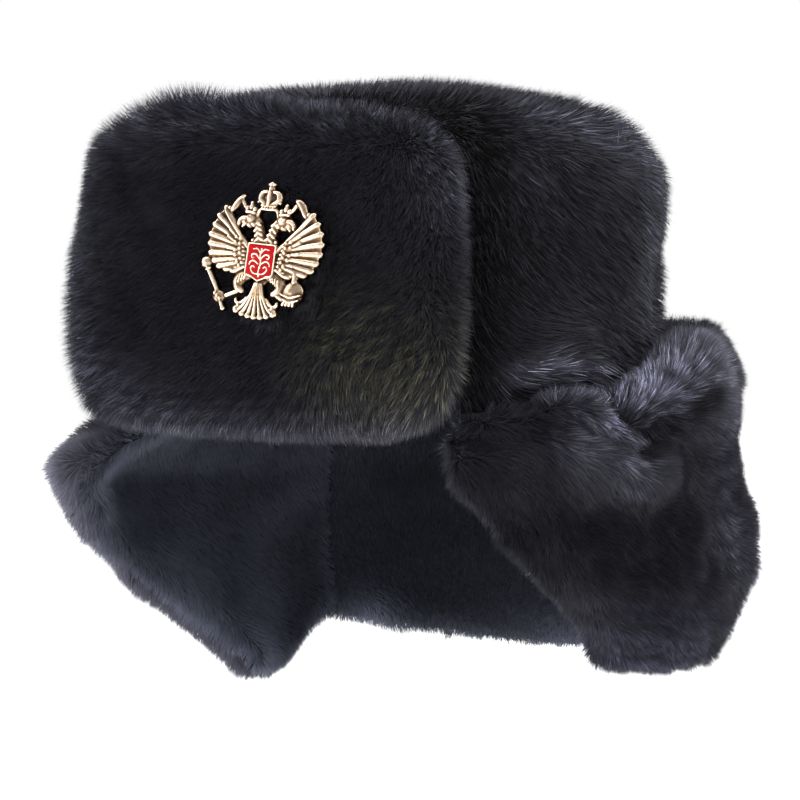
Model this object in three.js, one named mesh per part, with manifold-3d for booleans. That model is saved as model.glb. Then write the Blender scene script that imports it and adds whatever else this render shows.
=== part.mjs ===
// A fleece-lined military winter hat: fur crown, folded-up visor, ear and nape flaps let down.
// Millimetres, +Z up. The wearer looks along -Y, and the wearer's left is +X.
// The origin is the centre of the head opening, at the level of the rim.
// Angles go round the head from the front (0) past the wearer's left (90) to the back (180).
import * as THREE from 'three';
import { mergeVertices } from 'three/addons/utils/BufferGeometryUtils.js';
import Module from 'manifold-3d';

const wasm = await Module();
wasm.setup();

// Head opening
const HEAD_HALF_WIDTH = 81.5;
const HEAD_HALF_LENGTH = 100;
const HEAD_DEPTH = 108;
const HEAD_SHOULDER = 32;
const HEAD_SQUARENESS = 2.15;

// Crown
const SIDE_WALL = 14.5;
const REAR_WALL = 12;
const FRONT_WALL = 5;
const CROWN_HEIGHT = 124;
const CROWN_DOME = 3;
const CROWN_TILT = 3;
const CROWN_SQUARENESS = 2.3;
const SHOULDER_FRONT = 24;
const SHOULDER_REAR = 49;
const CROWN_COLUMNS = 48;
const CROWN_LOCK_ROWS = 9;

// Fur: locks lie like tiles, two columns wide, and each stands proud at its tip
const LOCK_RELIEF = 3;
const LOCK_SIDE_RELIEF = 0.8;
const LOCK_TIP = 0.8;
const LOCK_SCALLOP = 0.2;
const PRESSED = 0.12;
const PRESSED_HALF_ANGLE = 57;
const GAP = 0.4;

// Visor, folded up against the front of the crown, its ends bent back a little
const VISOR_HALF_WIDTH = 90;
const VISOR_X = -12;
const VISOR_BOTTOM = -9;
const VISOR_TOP = 115;
const VISOR_TILT = 3;
const VISOR_THICKNESS = 20;
const VISOR_EDGE = 9;
const VISOR_BACK_ROUNDING = 0.33;
const VISOR_SQUARENESS = 5.2;
const VISOR_WRAP = 6;
const VISOR_COLUMNS = 16;
const VISOR_LOCK_ROWS = 6;

// Flaps: an outer fur panel and the fleece that lines it
const PANEL_THICKNESS = 13;
const LINING_THICKNESS = 8.5;
const UNDER_RIM = 5.4;
const SEAM_HALF_ANGLE = 0.16;
const WAIST_HEIGHT = -20;
const EDGE_ROUNDING = 14;
const COLUMN_WIDTH = 12;
const ROW_HEIGHT = 10;
const INNER_CREST = 0.85;
const TUCKED_SHARE = 0.25;
const FREE_EDGE = 0.35;
const SEAM_EDGE = 0.75;
const LOCK_ROWS_ABOVE_RIM = 2;
const LOCK_ROWS_BELOW_RIM = 6;
const EAR_COLUMNS = 10;
const NAPE_COLUMNS = 16;
const LEFT_SEAM = 120;
const RIGHT_SEAM = 235;

// The band of flaps, section by section round the head. Sizes are set off from the crown's wall:
// top is how far the fold rises above the rim, roll how far it stands out there, waist the crease
// below it, flare the panel half way down, hem its lower edge, and drop that edge's height.
const BAND = [
  { angle: 30, top: 4, roll: 12, waist: 16, flare: 14, hem: 8, drop: -100 },
  { angle: 60, top: 6, roll: 14, waist: 15, flare: 10, hem: 2, drop: -104 },
  { angle: 85, top: 12, roll: 16, waist: 16, flare: 14, hem: 2, drop: -108 },
  { angle: 104, top: 30, roll: 27, waist: 25, flare: 27, hem: 10, drop: -114 },
  { angle: 122, top: 36, roll: 30, waist: 30, flare: 41, hem: 20, drop: -114 },
  { angle: 140, top: 34, roll: 30, waist: 31, flare: 44, hem: 29, drop: -114 },
  { angle: 180, top: 30, roll: 27, waist: 28, flare: 38, hem: 32, drop: -134 },
  { angle: 215, top: 26, roll: 25, waist: 28, flare: 36, hem: 27, drop: -128 },
  { angle: 238, top: 20, roll: 23, waist: 28, flare: 35, hem: 21, drop: -119 },
  { angle: 252, top: 14, roll: 21, waist: 30, flare: 35, hem: 18, drop: -138 },
  { angle: 272, top: 10, roll: 22, waist: 35, flare: 34, hem: 7, drop: -137 },
  { angle: 293, top: 7, roll: 26, waist: 45, flare: 41, hem: 13, drop: -129 },
  { angle: 308, top: 5, roll: 27, waist: 55, flare: 49, hem: 20, drop: -121 },
  { angle: 322, top: 5, roll: 24, waist: 60, flare: 50, hem: 24, drop: -117 },
];

// The ear flaps' front edges: how far round from the front each lies at a height
const FRONT_EDGES = [
  { z: 0, left: 39, right: 47 },
  { z: -9, left: 38, right: 45 },
  { z: -14, left: 32, right: 43 },
  { z: -30, left: 36, right: 43 },
  { z: -56, left: 49, right: 51 },
  { z: -92, left: 72, right: 67 },
  { z: -130, left: 88, right: 88 },
];

// Badge, pinned through the middle of the visor
const BADGE_X = 4.6;
const BADGE_Z = 56.4;
const BADGE_LEAN = -9;
const BADGE_CLEAR = 39;
const PIN_RADIUS = 1.4;
const PIN_LENGTH = 10;
const PIN_CLEARANCE = 0.3;

const FUR = { color: 0x15161b, roughness: 0.85, metalness: 0 };
const FLEECE = { color: 0x14161d, roughness: 0.9, metalness: 0 };
const GOLD = { color: 0xd9bd84, roughness: 0.3, metalness: 1 };
const ENAMEL = { color: 0xc8141e, roughness: 0.2, metalness: 0 };
const STEEL = { color: 0xb8b8b4, roughness: 0.4, metalness: 1 };

const rad = THREE.MathUtils.degToRad;
const lerp = THREE.MathUtils.lerp;
const clamp = THREE.MathUtils.clamp;

// Radius of a superellipse in the direction of an angle round the head
function squareRadius(angle, halfWidth, halfFront, halfRear, squareness) {
  const across = Math.abs(Math.sin(angle)) / halfWidth;
  const along = Math.abs(Math.cos(angle)) / (Math.cos(angle) > 0 ? halfFront : halfRear);
  return (across ** squareness + along ** squareness) ** (-1 / squareness);
}

const headRadius = (angle) =>
  squareRadius(angle, HEAD_HALF_WIDTH, HEAD_HALF_LENGTH, HEAD_HALF_LENGTH, HEAD_SQUARENESS);

const crownRadius = (angle) =>
  squareRadius(
    angle,
    HEAD_HALF_WIDTH + SIDE_WALL,
    HEAD_HALF_LENGTH + FRONT_WALL,
    HEAD_HALF_LENGTH + REAR_WALL,
    CROWN_SQUARENESS,
  );

const atAngle = (angle, radius, z) =>
  new THREE.Vector3(radius * Math.sin(angle), -radius * Math.cos(angle), z);

// How proud a lock stands at one corner of the grid of locks. Odd rows of corners are tips.
function lockRelief(column, row) {
  if (row % 2 === 0) return 0;
  const inMiddle = (column + (row - 1) / 2) % 2 === 0;
  return inMiddle ? LOCK_RELIEF : LOCK_SIDE_RELIEF;
}

// Where that corner lies down the fur, counted in rows of locks
function lockPlace(column, row) {
  const lock = Math.floor(row / 2);
  if (row % 2 === 0) return lock;
  const inMiddle = (column + lock) % 2 === 0;
  return lock + LOCK_TIP - (inMiddle ? 0 : LOCK_SCALLOP);
}

// A closed solid from its corners and triangles, turned to face outwards
class Solid {
  constructor() {
    this.corners = [];
    this.faces = [];
  }

  add(point) {
    this.corners.push(point);
    return this.corners.length - 1;
  }

  addRows(rows) {
    return rows.map((row) => row.map((point) => this.add(point)));
  }

  quad(a, b, c, d) {
    this.faces.push([a, b, c], [a, c, d]);
  }

  strip(first, second, closed) {
    const count = closed ? first.length : first.length - 1;
    for (let i = 0; i < count; i += 1) {
      const next = (i + 1) % first.length;
      this.quad(first[i], first[next], second[next], second[i]);
    }
  }

  // The same faces as strip, split on the same diagonals and turned over
  stripTurned(first, second) {
    for (let i = 0; i + 1 < first.length; i += 1) {
      this.quad(first[i], second[i], second[i + 1], first[i + 1]);
    }
  }

  fan(ring, pole) {
    for (let i = 0; i < ring.length; i += 1) {
      this.faces.push([ring[i], ring[(i + 1) % ring.length], pole]);
    }
  }

  volume() {
    const cross = new THREE.Vector3();
    let total = 0;
    for (const [a, b, c] of this.faces) {
      cross.crossVectors(this.corners[b], this.corners[c]);
      total += this.corners[a].dot(cross) / 6;
    }
    return total;
  }

  geometry() {
    const outwards = this.volume() > 0;
    const index = this.faces.flatMap(([a, b, c]) => (outwards ? [a, b, c] : [a, c, b]));
    const places = this.corners.flatMap((point) => point.toArray());
    const made = new THREE.BufferGeometry();
    made.setAttribute('position', new THREE.Float32BufferAttribute(places, 3));
    made.setIndex(index);
    return made;
  }
}

// Joins and cuts

function toManifold(geometry) {
  const bare = geometry.clone();
  bare.deleteAttribute('normal');
  bare.deleteAttribute('uv');
  const merged = mergeVertices(bare, 1e-4);
  return new wasm.Manifold(
    new wasm.Mesh({
      numProp: 3,
      vertProperties: new Float32Array(merged.attributes.position.array),
      triVerts: new Uint32Array(merged.index.array),
    }),
  );
}

function fromManifold(solid) {
  const mesh = solid.getMesh();
  const made = new THREE.BufferGeometry();
  made.setAttribute('position', new THREE.Float32BufferAttribute(mesh.vertProperties, 3));
  made.setIndex(Array.from(mesh.triVerts));
  return made;
}

function joined(geometries) {
  return geometries.map(toManifold).reduce((all, next) => all.add(next));
}

// Crown: the outer fur from the top of the head down to the rim, and the open hollow inside

function crownProfile(angle, down) {
  const radius = crownRadius(angle);
  const shoulder = lerp(SHOULDER_FRONT, SHOULDER_REAR, (1 - Math.cos(angle)) / 2);
  const flat = radius - shoulder;
  const bend = (shoulder * Math.PI) / 2;
  const side = CROWN_HEIGHT - shoulder;
  const along = down * (flat + bend + side);
  if (along < flat) {
    const z = CROWN_HEIGHT + CROWN_DOME * (1 - (along / flat) ** 2);
    return { radius: along, z, outward: 0, upward: 1 };
  }
  if (along < flat + bend) {
    const turn = (along - flat) / shoulder;
    return {
      radius: flat + shoulder * Math.sin(turn),
      z: side + shoulder * Math.cos(turn),
      outward: Math.sin(turn),
      upward: Math.cos(turn),
    };
  }
  return { radius, z: side - (along - flat - bend), outward: 1, upward: 0 };
}

function pressedByVisor(angle, z) {
  const behindVisor = Math.cos(angle) > Math.cos(rad(PRESSED_HALF_ANGLE)) && z < VISOR_TOP;
  return behindVisor ? PRESSED : 1;
}

const crownAngle = (column) => (column / CROWN_COLUMNS) * 2 * Math.PI;

function crownFurRing(row) {
  const ring = [];
  for (let column = 0; column < CROWN_COLUMNS; column += 1) {
    const angle = crownAngle(column);
    const place = crownProfile(angle, lockPlace(column, row) / CROWN_LOCK_ROWS);
    const relief = lockRelief(column, row) * pressedByVisor(angle, place.z);
    const radius = place.radius + relief * place.outward;
    const corner = atAngle(angle, radius, place.z + relief * place.upward);
    corner.z -= ((CROWN_TILT * corner.x) / HEAD_HALF_WIDTH) * clamp(place.z / CROWN_HEIGHT, 0, 1);
    ring.push(corner);
  }
  return ring;
}

function hollowRing(inset, z) {
  const ring = [];
  for (let column = 0; column < CROWN_COLUMNS; column += 1) {
    const angle = crownAngle(column);
    ring.push(atAngle(angle, headRadius(angle) - inset, z));
  }
  return ring;
}

function crown() {
  const solid = new Solid();
  const rows = [];
  for (let row = 1; row <= 2 * CROWN_LOCK_ROWS; row += 1) rows.push(crownFurRing(row));
  const side = HEAD_DEPTH - HEAD_SHOULDER;
  const halfBend = HEAD_SHOULDER * (1 - Math.SQRT1_2);
  rows.push(hollowRing(0, 0), hollowRing(0, side / 2), hollowRing(0, side));
  rows.push(hollowRing(halfBend, HEAD_DEPTH - halfBend), hollowRing(HEAD_SHOULDER, HEAD_DEPTH));
  const rings = solid.addRows(rows);
  for (let i = 0; i + 1 < rings.length; i += 1) solid.strip(rings[i], rings[i + 1], true);
  const top = solid.add(new THREE.Vector3(0, 0, CROWN_HEIGHT + CROWN_DOME));
  const ceiling = solid.add(new THREE.Vector3(0, 0, HEAD_DEPTH));
  solid.fan([...rings[0]].reverse(), top);
  solid.fan(rings[rings.length - 1], ceiling);
  return solid.geometry();
}

// A padded sheet from its outer and inner grids of points, closed round its edges

function edgeLoop(grid) {
  const last = grid.length - 1;
  const width = grid[0].length - 1;
  const between = grid.slice(1, last);
  const down = between.map((row) => row[width]);
  const up = between.map((row) => row[0]).reverse();
  return [...grid[0], ...down, ...[...grid[last]].reverse(), ...up];
}

function sheet(outerRows, innerRows) {
  const solid = new Solid();
  const outer = solid.addRows(outerRows);
  const inner = solid.addRows(innerRows);
  for (let row = 0; row + 1 < outer.length; row += 1) {
    solid.strip(outer[row], outer[row + 1], false);
    solid.stripTurned(inner[row], inner[row + 1]);
  }
  solid.strip(edgeLoop(inner), edgeLoop(outer), true);
  return solid.geometry();
}

// Visor: a thick pad with rounded corners, its fur face to the front

const CROWN_FRONT = HEAD_HALF_LENGTH + FRONT_WALL + LOCK_RELIEF * PRESSED;
const VISOR_BACK = CROWN_FRONT + GAP;
const VISOR_FRONT = VISOR_BACK + VISOR_THICKNESS;

function visorPoint(across, up, depth) {
  const reach = Math.max(Math.abs(across), Math.abs(up), 1e-6);
  const a = (Math.abs(across) / reach) ** VISOR_SQUARENESS;
  const b = (Math.abs(up) / reach) ** VISOR_SQUARENESS;
  const corner = Math.max(a + b, 1) ** (-1 / VISOR_SQUARENESS);
  const round = lerp(1, corner, reach * reach);
  const middle = (VISOR_TOP + VISOR_BOTTOM) / 2;
  const halfHeight = (VISOR_TOP - VISOR_BOTTOM) / 2;
  const x = VISOR_X + across * round * VISOR_HALF_WIDTH;
  const y = -depth + VISOR_WRAP * across * across;
  const tilt = -VISOR_TILT * across * clamp(up, 0, 1);
  return new THREE.Vector3(x, y, middle + up * round * halfHeight + tilt);
}

function visorThickness(across, up) {
  const toSide = (1 - Math.abs(across)) * VISOR_HALF_WIDTH;
  const toEnd = ((1 - Math.abs(up)) * (VISOR_TOP - VISOR_BOTTOM)) / 2;
  const inset = 1 - clamp(Math.min(toSide, toEnd) / VISOR_THICKNESS, 0, 1);
  return lerp(VISOR_EDGE, VISOR_THICKNESS, Math.sqrt(1 - inset * inset));
}

function underBadge(point) {
  return Math.hypot(point.x - BADGE_X, point.z - BADGE_Z) < BADGE_CLEAR;
}

function visor() {
  const front = [];
  const back = [];
  const rows = 2 * VISOR_LOCK_ROWS;
  for (let row = 0; row <= rows; row += 1) {
    front.push([]);
    back.push([]);
    for (let column = 0; column <= VISOR_COLUMNS; column += 1) {
      const across = (2 * column) / VISOR_COLUMNS - 1;
      const up = 1 - (2 * lockPlace(column, row)) / VISOR_LOCK_ROWS;
      const thickness = visorThickness(across, up);
      const loose = (VISOR_THICKNESS - thickness) * VISOR_BACK_ROUNDING;
      const furred = visorPoint(across, up, VISOR_BACK + loose + thickness);
      if (!underBadge(furred)) furred.y -= lockRelief(column, row);
      front[row].push(furred);
      back[row].push(visorPoint(across, up, VISOR_BACK + loose));
    }
  }
  const bore = PIN_RADIUS + PIN_CLEARANCE;
  const hole = new THREE.CylinderGeometry(bore, bore, 2 * (PIN_LENGTH + PIN_CLEARANCE), 12);
  hole.translate(BADGE_X, -VISOR_FRONT, BADGE_Z);
  return fromManifold(toManifold(sheet(front, back)).subtract(toManifold(hole)));
}

// Flaps

// A named column of a table at a place, on a smooth curve through the table's rows
function smoothColumn(table, key, name, place) {
  const last = table.length - 1;
  const rising = table[last][key] > table[0][key];
  const past = (row) => (rising ? row[key] > place : row[key] < place);
  const found = table.findIndex(past);
  const row = found < 0 ? last - 1 : Math.max(found - 1, 0);
  const before = table[Math.max(row - 1, 0)];
  const from = table[row];
  const to = table[row + 1];
  const after = table[Math.min(row + 2, last)];
  const width = to[key] - from[key];
  const share = clamp((place - from[key]) / width, 0, 1);
  const slopeFrom = ((to[name] - before[name]) / (to[key] - before[key])) * width;
  const slopeTo = ((after[name] - from[name]) / (after[key] - from[key])) * width;
  const square = share * share;
  const cube = square * share;
  return (
    from[name] * (2 * cube - 3 * square + 1) +
    slopeFrom * (cube - 2 * square + share) +
    to[name] * (3 * square - 2 * cube) +
    slopeTo * (cube - square)
  );
}

// The outer face of the band at one angle, from the crest of its fold to its hem. Its x is the
// offset from the crown's wall, and its third point lies at the rim.
const POINT_AT_RIM = 2;
const BAND_POINTS = 7;

function bandCurve(degrees) {
  const at = (name) => smoothColumn(BAND, 'angle', name, degrees);
  const points = [
    [LOCK_RELIEF + GAP + 0.3 * at('roll'), at('top')],
    [LOCK_RELIEF + 0.75 * at('roll'), 0.8 * at('top')],
    [at('roll'), 0.15 * at('top') - 2],
    [at('waist'), WAIST_HEIGHT],
    [at('flare'), 0.5 * at('drop') - 4],
    [0.6 * at('flare') + 0.4 * at('hem'), 0.8 * at('drop')],
    [at('hem'), at('drop')],
  ];
  const places = points.map(([out, z]) => new THREE.Vector3(out, 0, z));
  return new THREE.CatmullRomCurve3(places, false, 'centripetal');
}

const ROWS_ABOVE = 2 * LOCK_ROWS_ABOVE_RIM;
const ROWS_BELOW = 2 * LOCK_ROWS_BELOW_RIM;

function placeOnCurve(column, row) {
  const atRim = POINT_AT_RIM / (BAND_POINTS - 1);
  const locks = lockPlace(column, row);
  if (locks < LOCK_ROWS_ABOVE_RIM) return (locks / LOCK_ROWS_ABOVE_RIM) * atRim;
  return lerp(atRim, 1, (locks - LOCK_ROWS_ABOVE_RIM) / LOCK_ROWS_BELOW_RIM);
}

// Corners of one panel between two edges, each a function from height to degrees. outward and
// upward are the direction that faces out of the fur there.
function panelCorners(panel) {
  const grid = [];
  for (let row = 0; row <= ROWS_ABOVE + ROWS_BELOW; row += 1) {
    grid.push([]);
    for (let column = 0; column <= panel.columns; column += 1) {
      const across = column / panel.columns;
      const down = placeOnCurve(column, row);
      let degrees = lerp(panel.start(0), panel.end(0), across);
      for (let pass = 0; pass < 8; pass += 1) {
        const { z } = bandCurve(degrees).getPoint(down);
        degrees = lerp(panel.start(z), panel.end(z), across);
      }
      const curve = bandCurve(degrees);
      const point = curve.getPoint(down);
      const tangent = curve.getTangent(down);
      grid[row].push({
        column,
        row,
        across,
        degrees,
        out: point.x,
        z: point.z,
        outward: -tangent.z,
        upward: tangent.x,
      });
    }
  }
  return grid;
}

// Fur and fleece are thin along their free edges, and a little pinched along their seams
function edgeShare(panel, corner) {
  const width = panel.columns * COLUMN_WIDTH;
  const hem = (ROWS_ABOVE + ROWS_BELOW - corner.row) * ROW_HEIGHT;
  const round = (distance, thin) => {
    const near = 1 - clamp(distance / EDGE_ROUNDING, 0, 1);
    return lerp(thin, 1, Math.sqrt(1 - near * near));
  };
  return (
    round(corner.across * width, panel.startThin) *
    round((1 - corner.across) * width, panel.endThin) *
    round(hem, FREE_EDGE)
  );
}

function offBand(corner, depth) {
  const out = corner.out - depth * corner.outward;
  return { degrees: corner.degrees, out, z: corner.z - depth * corner.upward };
}

function inSpace(place) {
  const angle = rad(place.degrees);
  return atAngle(angle, crownRadius(angle) + place.out, place.z);
}

// Where fur and fleece meet, below the rim: tucked under the crown's wall, then hanging
function meetingPlace(corner, depth) {
  const below = (corner.row - ROWS_ABOVE - 1) / (ROWS_BELOW - 1);
  const hung = offBand(corner, PANEL_THICKNESS + depth);
  const share = clamp(below / TUCKED_SHARE, 0, 1);
  return {
    degrees: corner.degrees,
    out: lerp(-UNDER_RIM - depth, hung.out, share),
    z: Math.min(lerp(-2 * GAP, hung.z, share), -2 * GAP),
  };
}

function panelInside(corner) {
  if (corner.row > ROWS_ABOVE) return meetingPlace(corner, 0);
  const top = smoothColumn(BAND, 'angle', 'top', corner.degrees);
  return {
    degrees: corner.degrees,
    out: LOCK_RELIEF + GAP,
    z: lerp(INNER_CREST * top, -2 * GAP, corner.row / ROWS_ABOVE),
  };
}

function furPanel(panel) {
  const corners = panelCorners(panel);
  const lastRow = ROWS_ABOVE + ROWS_BELOW;
  const outer = corners.map((row) =>
    row.map((corner) => {
      const share = edgeShare(panel, corner);
      const relief = corner.row > 0 && corner.row < lastRow ? lockRelief(corner.column, corner.row) : 0;
      return inSpace(offBand(corner, (1 - share) * PANEL_THICKNESS - relief * share));
    }),
  );
  const inner = corners.map((row) => row.map((corner) => inSpace(panelInside(corner))));
  return sheet(outer, inner);
}

function fleecePanel(panel) {
  const corners = panelCorners(panel).slice(ROWS_ABOVE + 1);
  const outer = corners.map((row) => row.map((corner) => inSpace(meetingPlace(corner, GAP))));
  const inner = corners.map((row) =>
    row.map((corner) => {
      const thickness = LINING_THICKNESS * edgeShare(panel, corner);
      return inSpace(meetingPlace(corner, GAP + thickness));
    }),
  );
  return sheet(outer, inner);
}

const leftFront = (z) => smoothColumn(FRONT_EDGES, 'z', 'left', z);
const rightFront = (z) => 360 - smoothColumn(FRONT_EDGES, 'z', 'right', z);

const EAR_LEFT = {
  columns: EAR_COLUMNS,
  start: leftFront,
  end: () => LEFT_SEAM - SEAM_HALF_ANGLE,
  startThin: FREE_EDGE,
  endThin: SEAM_EDGE,
};

const NAPE = {
  columns: NAPE_COLUMNS,
  start: () => LEFT_SEAM + SEAM_HALF_ANGLE,
  end: () => RIGHT_SEAM - SEAM_HALF_ANGLE,
  startThin: SEAM_EDGE,
  endThin: SEAM_EDGE,
};

const EAR_RIGHT = {
  columns: EAR_COLUMNS,
  start: () => RIGHT_SEAM + SEAM_HALF_ANGLE,
  end: rightFront,
  startThin: SEAM_EDGE,
  endThin: FREE_EDGE,
};

// Badge: a cast double-headed eagle. Its pieces are drawn from the front, x to the viewer's right
// and y up, from the middle of the shield, stand on the visor's face, and are cast as one.

const SHIELD_HALF_WIDTH = 6;
const SHIELD_TOP = 6;
const SHIELD_SIDE_BOTTOM = -4.6;
const SHIELD_TIP = -6.6;
const SHIELD_RIM = 0.9;
const SHIELD_SEAT = 2.3;
const SHIELD_THICKNESS = 0.6;
const PLATE_HEIGHT = 0.9;
const BAR_CREST = 0.5;
const COVERTS = 3;

// Tips of one wing's long feathers, from the top one round to the lowest
const FEATHERS = [
  { x: 19.9, y: 18.2, half: 1.15 },
  { x: 22.4, y: 15.2, half: 1.2 },
  { x: 24.0, y: 11.8, half: 1.25 },
  { x: 25.0, y: 8.2, half: 1.3 },
  { x: 24.8, y: 4.7, half: 1.3 },
  { x: 23.9, y: 1.4, half: 1.3 },
  { x: 22.1, y: -1.4, half: 1.25 },
  { x: 19.6, y: -3.2, half: 1.2 },
  { x: 16.6, y: -4.1, half: 1.1 },
  { x: 13.4, y: -4.4, half: 1.0 },
];
const WING_ROOT_TOP = { x: 10.4, y: 8.4 };
const WING_ROOT_LOW = { x: 7.2, y: -2.6 };

// A raised bar along points of x, y and half width, narrower at its crest
function bar(points, height) {
  const solid = new Solid();
  const rings = points.map(([x, y, half], i) => {
    const before = points[Math.max(i - 1, 0)];
    const after = points[Math.min(i + 1, points.length - 1)];
    const along = new THREE.Vector2(after[0] - before[0], after[1] - before[1]).normalize();
    const side = (share, z) => new THREE.Vector3(x - along.y * half * share, y + along.x * half * share, z);
    return [side(1, 0), side(BAR_CREST, height), side(-BAR_CREST, height), side(-1, 0)];
  });
  const rows = solid.addRows(rings);
  for (let i = 0; i + 1 < rows.length; i += 1) solid.strip(rows[i], rows[i + 1], true);
  const cap = (ring) => {
    for (let i = 1; i + 1 < ring.length; i += 1) solid.faces.push([ring[0], ring[i], ring[i + 1]]);
  };
  cap([...rows[0]].reverse());
  cap(rows[rows.length - 1]);
  return solid.geometry();
}

// A flattened boss: half an egg that stands on the visor's face
function boss(x, y, halfWidth, halfHeight, height, sides = 6) {
  const profile = [
    new THREE.Vector2(0, 0),
    new THREE.Vector2(1, 0),
    new THREE.Vector2(0.78, 0.72),
    new THREE.Vector2(0, 1),
  ];
  const made = new THREE.LatheGeometry(profile, sides);
  made.rotateX(Math.PI / 2);
  made.scale(halfWidth, halfHeight, height);
  made.translate(x, y, 0);
  return made;
}

function plate(outline, height) {
  const shape = new THREE.Shape(outline.map(([x, y]) => new THREE.Vector2(x, y)));
  return new THREE.ExtrudeGeometry(shape, { depth: height, bevelEnabled: false });
}

function shieldOutline(grown) {
  return [
    [-SHIELD_HALF_WIDTH - grown, SHIELD_TOP + grown],
    [-SHIELD_HALF_WIDTH - grown, SHIELD_SIDE_BOTTOM - 0.4 * grown],
    [0, SHIELD_TIP - 1.1 * grown],
    [SHIELD_HALF_WIDTH + grown, SHIELD_SIDE_BOTTOM - 0.4 * grown],
    [SHIELD_HALF_WIDTH + grown, SHIELD_TOP + grown],
  ];
}

function wing() {
  const outline = [
    [4.5, 4],
    [9.4, 7.6],
    [16, 13.6],
    ...FEATHERS.map(({ x, y }) => [x * 0.93, y * 0.95]),
    [8.4, -4.6],
    [4.5, -3.6],
  ];
  const pieces = [plate(outline, PLATE_HEIGHT)];
  FEATHERS.forEach(({ x, y, half }, i) => {
    const share = i / (FEATHERS.length - 1);
    const rootX = lerp(WING_ROOT_TOP.x, WING_ROOT_LOW.x, share);
    const rootY = lerp(WING_ROOT_TOP.y, WING_ROOT_LOW.y, share);
    const bend = 0.7 * Math.cos(Math.PI * share);
    const middle = [lerp(rootX, x, 0.55) + 0.3, lerp(rootY, y, 0.55) + bend, 1.15 * half];
    pieces.push(bar([[rootX, rootY, 0.8], middle, [x, y, 0.8 * half]], 2.2 + 0.12 * (i % 2)));
  });
  for (let i = 0; i < COVERTS; i += 1) {
    const share = i / (COVERTS - 1);
    pieces.push(boss(lerp(10.6, 8.4, share), lerp(6.6, -1.8, share), 2, 2, 2.8, 5));
  }
  pieces.push(bar([[5.4, 3.4, 1.2], [9.4, 7.4, 1.15], [19, 17.4, 0.8]], 2.6));
  return pieces;
}

// One head on its neck, with its small crown and the ribbons of the middle crown
function head() {
  return [
    bar([[1.7, 6.6, 2.2], [3, 10.4, 1.9], [4.2, 14.2, 1.7], [6, 15.8, 1.7]], 2.9),
    boss(7, 15.2, 2.3, 1.9, 3.8),
    bar([[8.6, 15.4, 1], [11.2, 15.3, 0.8], [12, 13, 0.4]], 3.1),
    bar([[8, 13.9, 0.6], [10.2, 12.5, 0.4]], 2.6),
    bar([[5.8, 17.3, 0.6], [9.1, 17.5, 0.6]], 3.3),
    boss(7.5, 18.8, 2.1, 1.6, 3),
    bar([[3, 19.2, 0.6], [4.2, 17.8, 0.65], [4.6, 16.2, 0.6]], 2.3),
    bar([[9, 18, 0.5], [11.4, 20.6, 0.7], [12.4, 22.2, 0.9]], 2.3),
    bar([[12, 23.2, 1], [13.9, 21.2, 1.5], [15.4, 18.9, 1.25], [17.6, 18, 0.8]], 2.5),
  ];
}

function middleCrown() {
  const pieces = [
    bar([[-3.1, 19, 0.6], [0, 18.8, 0.6], [3.1, 19, 0.6]], 3.4),
    boss(0, 22.2, 4, 2.8, 2.5, 8),
    bar([[0, 19.4, 0.8], [0, 23, 1.1], [0, 26, 0.9]], 3.7),
    boss(0, 26.2, 1, 1, 3, 5),
    bar([[0, 26.6, 0.4], [0, 28.6, 0.4]], 2.3),
    bar([[-1.1, 27.7, 0.4], [1.1, 27.7, 0.4]], 2.2),
  ];
  for (const side of [-1, 1]) {
    const lobe = [[1.4, 20, 0.9], [4, 22.2, 1.2], [3.2, 24.8, 1], [0.8, 25.2, 0.7]];
    pieces.push(bar(lobe.map(([x, y, half]) => [side * x, y, half]), 3.2));
  }
  return pieces;
}

function leg() {
  return [
    bar([[3.2, -5, 1.4], [7.2, -5.6, 1.9], [9.9, -7.6, 1.8], [9, -10.2, 1.3], [6.8, -11, 0.9]], 2.6),
    bar([[6.8, -10.7, 0.8], [10.4, -12.1, 0.75], [14.6, -13.7, 0.85]], 2.2),
  ];
}

function sceptre() {
  return [
    bar([[-24.8, -3, 0.7], [-21.6, -7.4, 0.85], [-18.2, -12.2, 0.75], [-14.4, -19, 0.6]], 2.1),
    boss(-25, -2.4, 1.9, 2, 2.9),
    boss(-16.2, -14.6, 1.9, 1.8, 2.8),
  ];
}

function orb() {
  return [
    boss(17.2, -9.6, 3.9, 4, 3.2, 10),
    bar([[13.3, -9.4, 0.5], [17.2, -10.2, 0.5], [21.1, -9.2, 0.5]], 3.5),
    bar([[17.1, -7, 0.6], [16.9, -5.4, 0.7], [16.7, -2.4, 0.7]], 2.5),
    bar([[15.3, -4.1, 0.5], [18.3, -4.1, 0.5]], 2.4),
  ];
}

function tail() {
  const pieces = [boss(0, -7.4, 2.7, 2.6, 2.4, 8)];
  for (let i = -3; i <= 3; i += 1) {
    const share = Math.abs(i) / 3;
    const low = -20.2 + 1.6 * share * share;
    const stem = [[0.45 * i, -8, 0.7], [1.3 * i, -14.4, 0.8], [2.7 * i, low - 0.6, 1.2]];
    pieces.push(bar(stem, 2.5 - 0.2 * share));
  }
  for (const side of [-1, 1]) {
    const curl = [[4.2, -13.4, 0.7], [6.6, -15.6, 0.8], [9.2, -15, 0.7]];
    pieces.push(bar(curl.map(([x, y, half]) => [side * x, y, half]), 2.5));
  }
  return pieces;
}

function eagle() {
  const half = joined([...wing(), ...head(), ...leg()]);
  const middle = joined([
    ...middleCrown(),
    ...sceptre(),
    ...orb(),
    ...tail(),
    boss(0, 0.4, 8.2, 8.4, 2.3, 10),
    plate(shieldOutline(SHIELD_RIM), SHIELD_SEAT + SHIELD_THICKNESS + GAP),
  ]);
  const recess = plate(shieldOutline(GAP), 4 * SHIELD_SEAT);
  recess.translate(0, 0, SHIELD_SEAT);
  const whole = half.add(half.mirror([1, 0, 0])).add(middle);
  return fromManifold(whole.subtract(toManifold(recess)));
}

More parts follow.
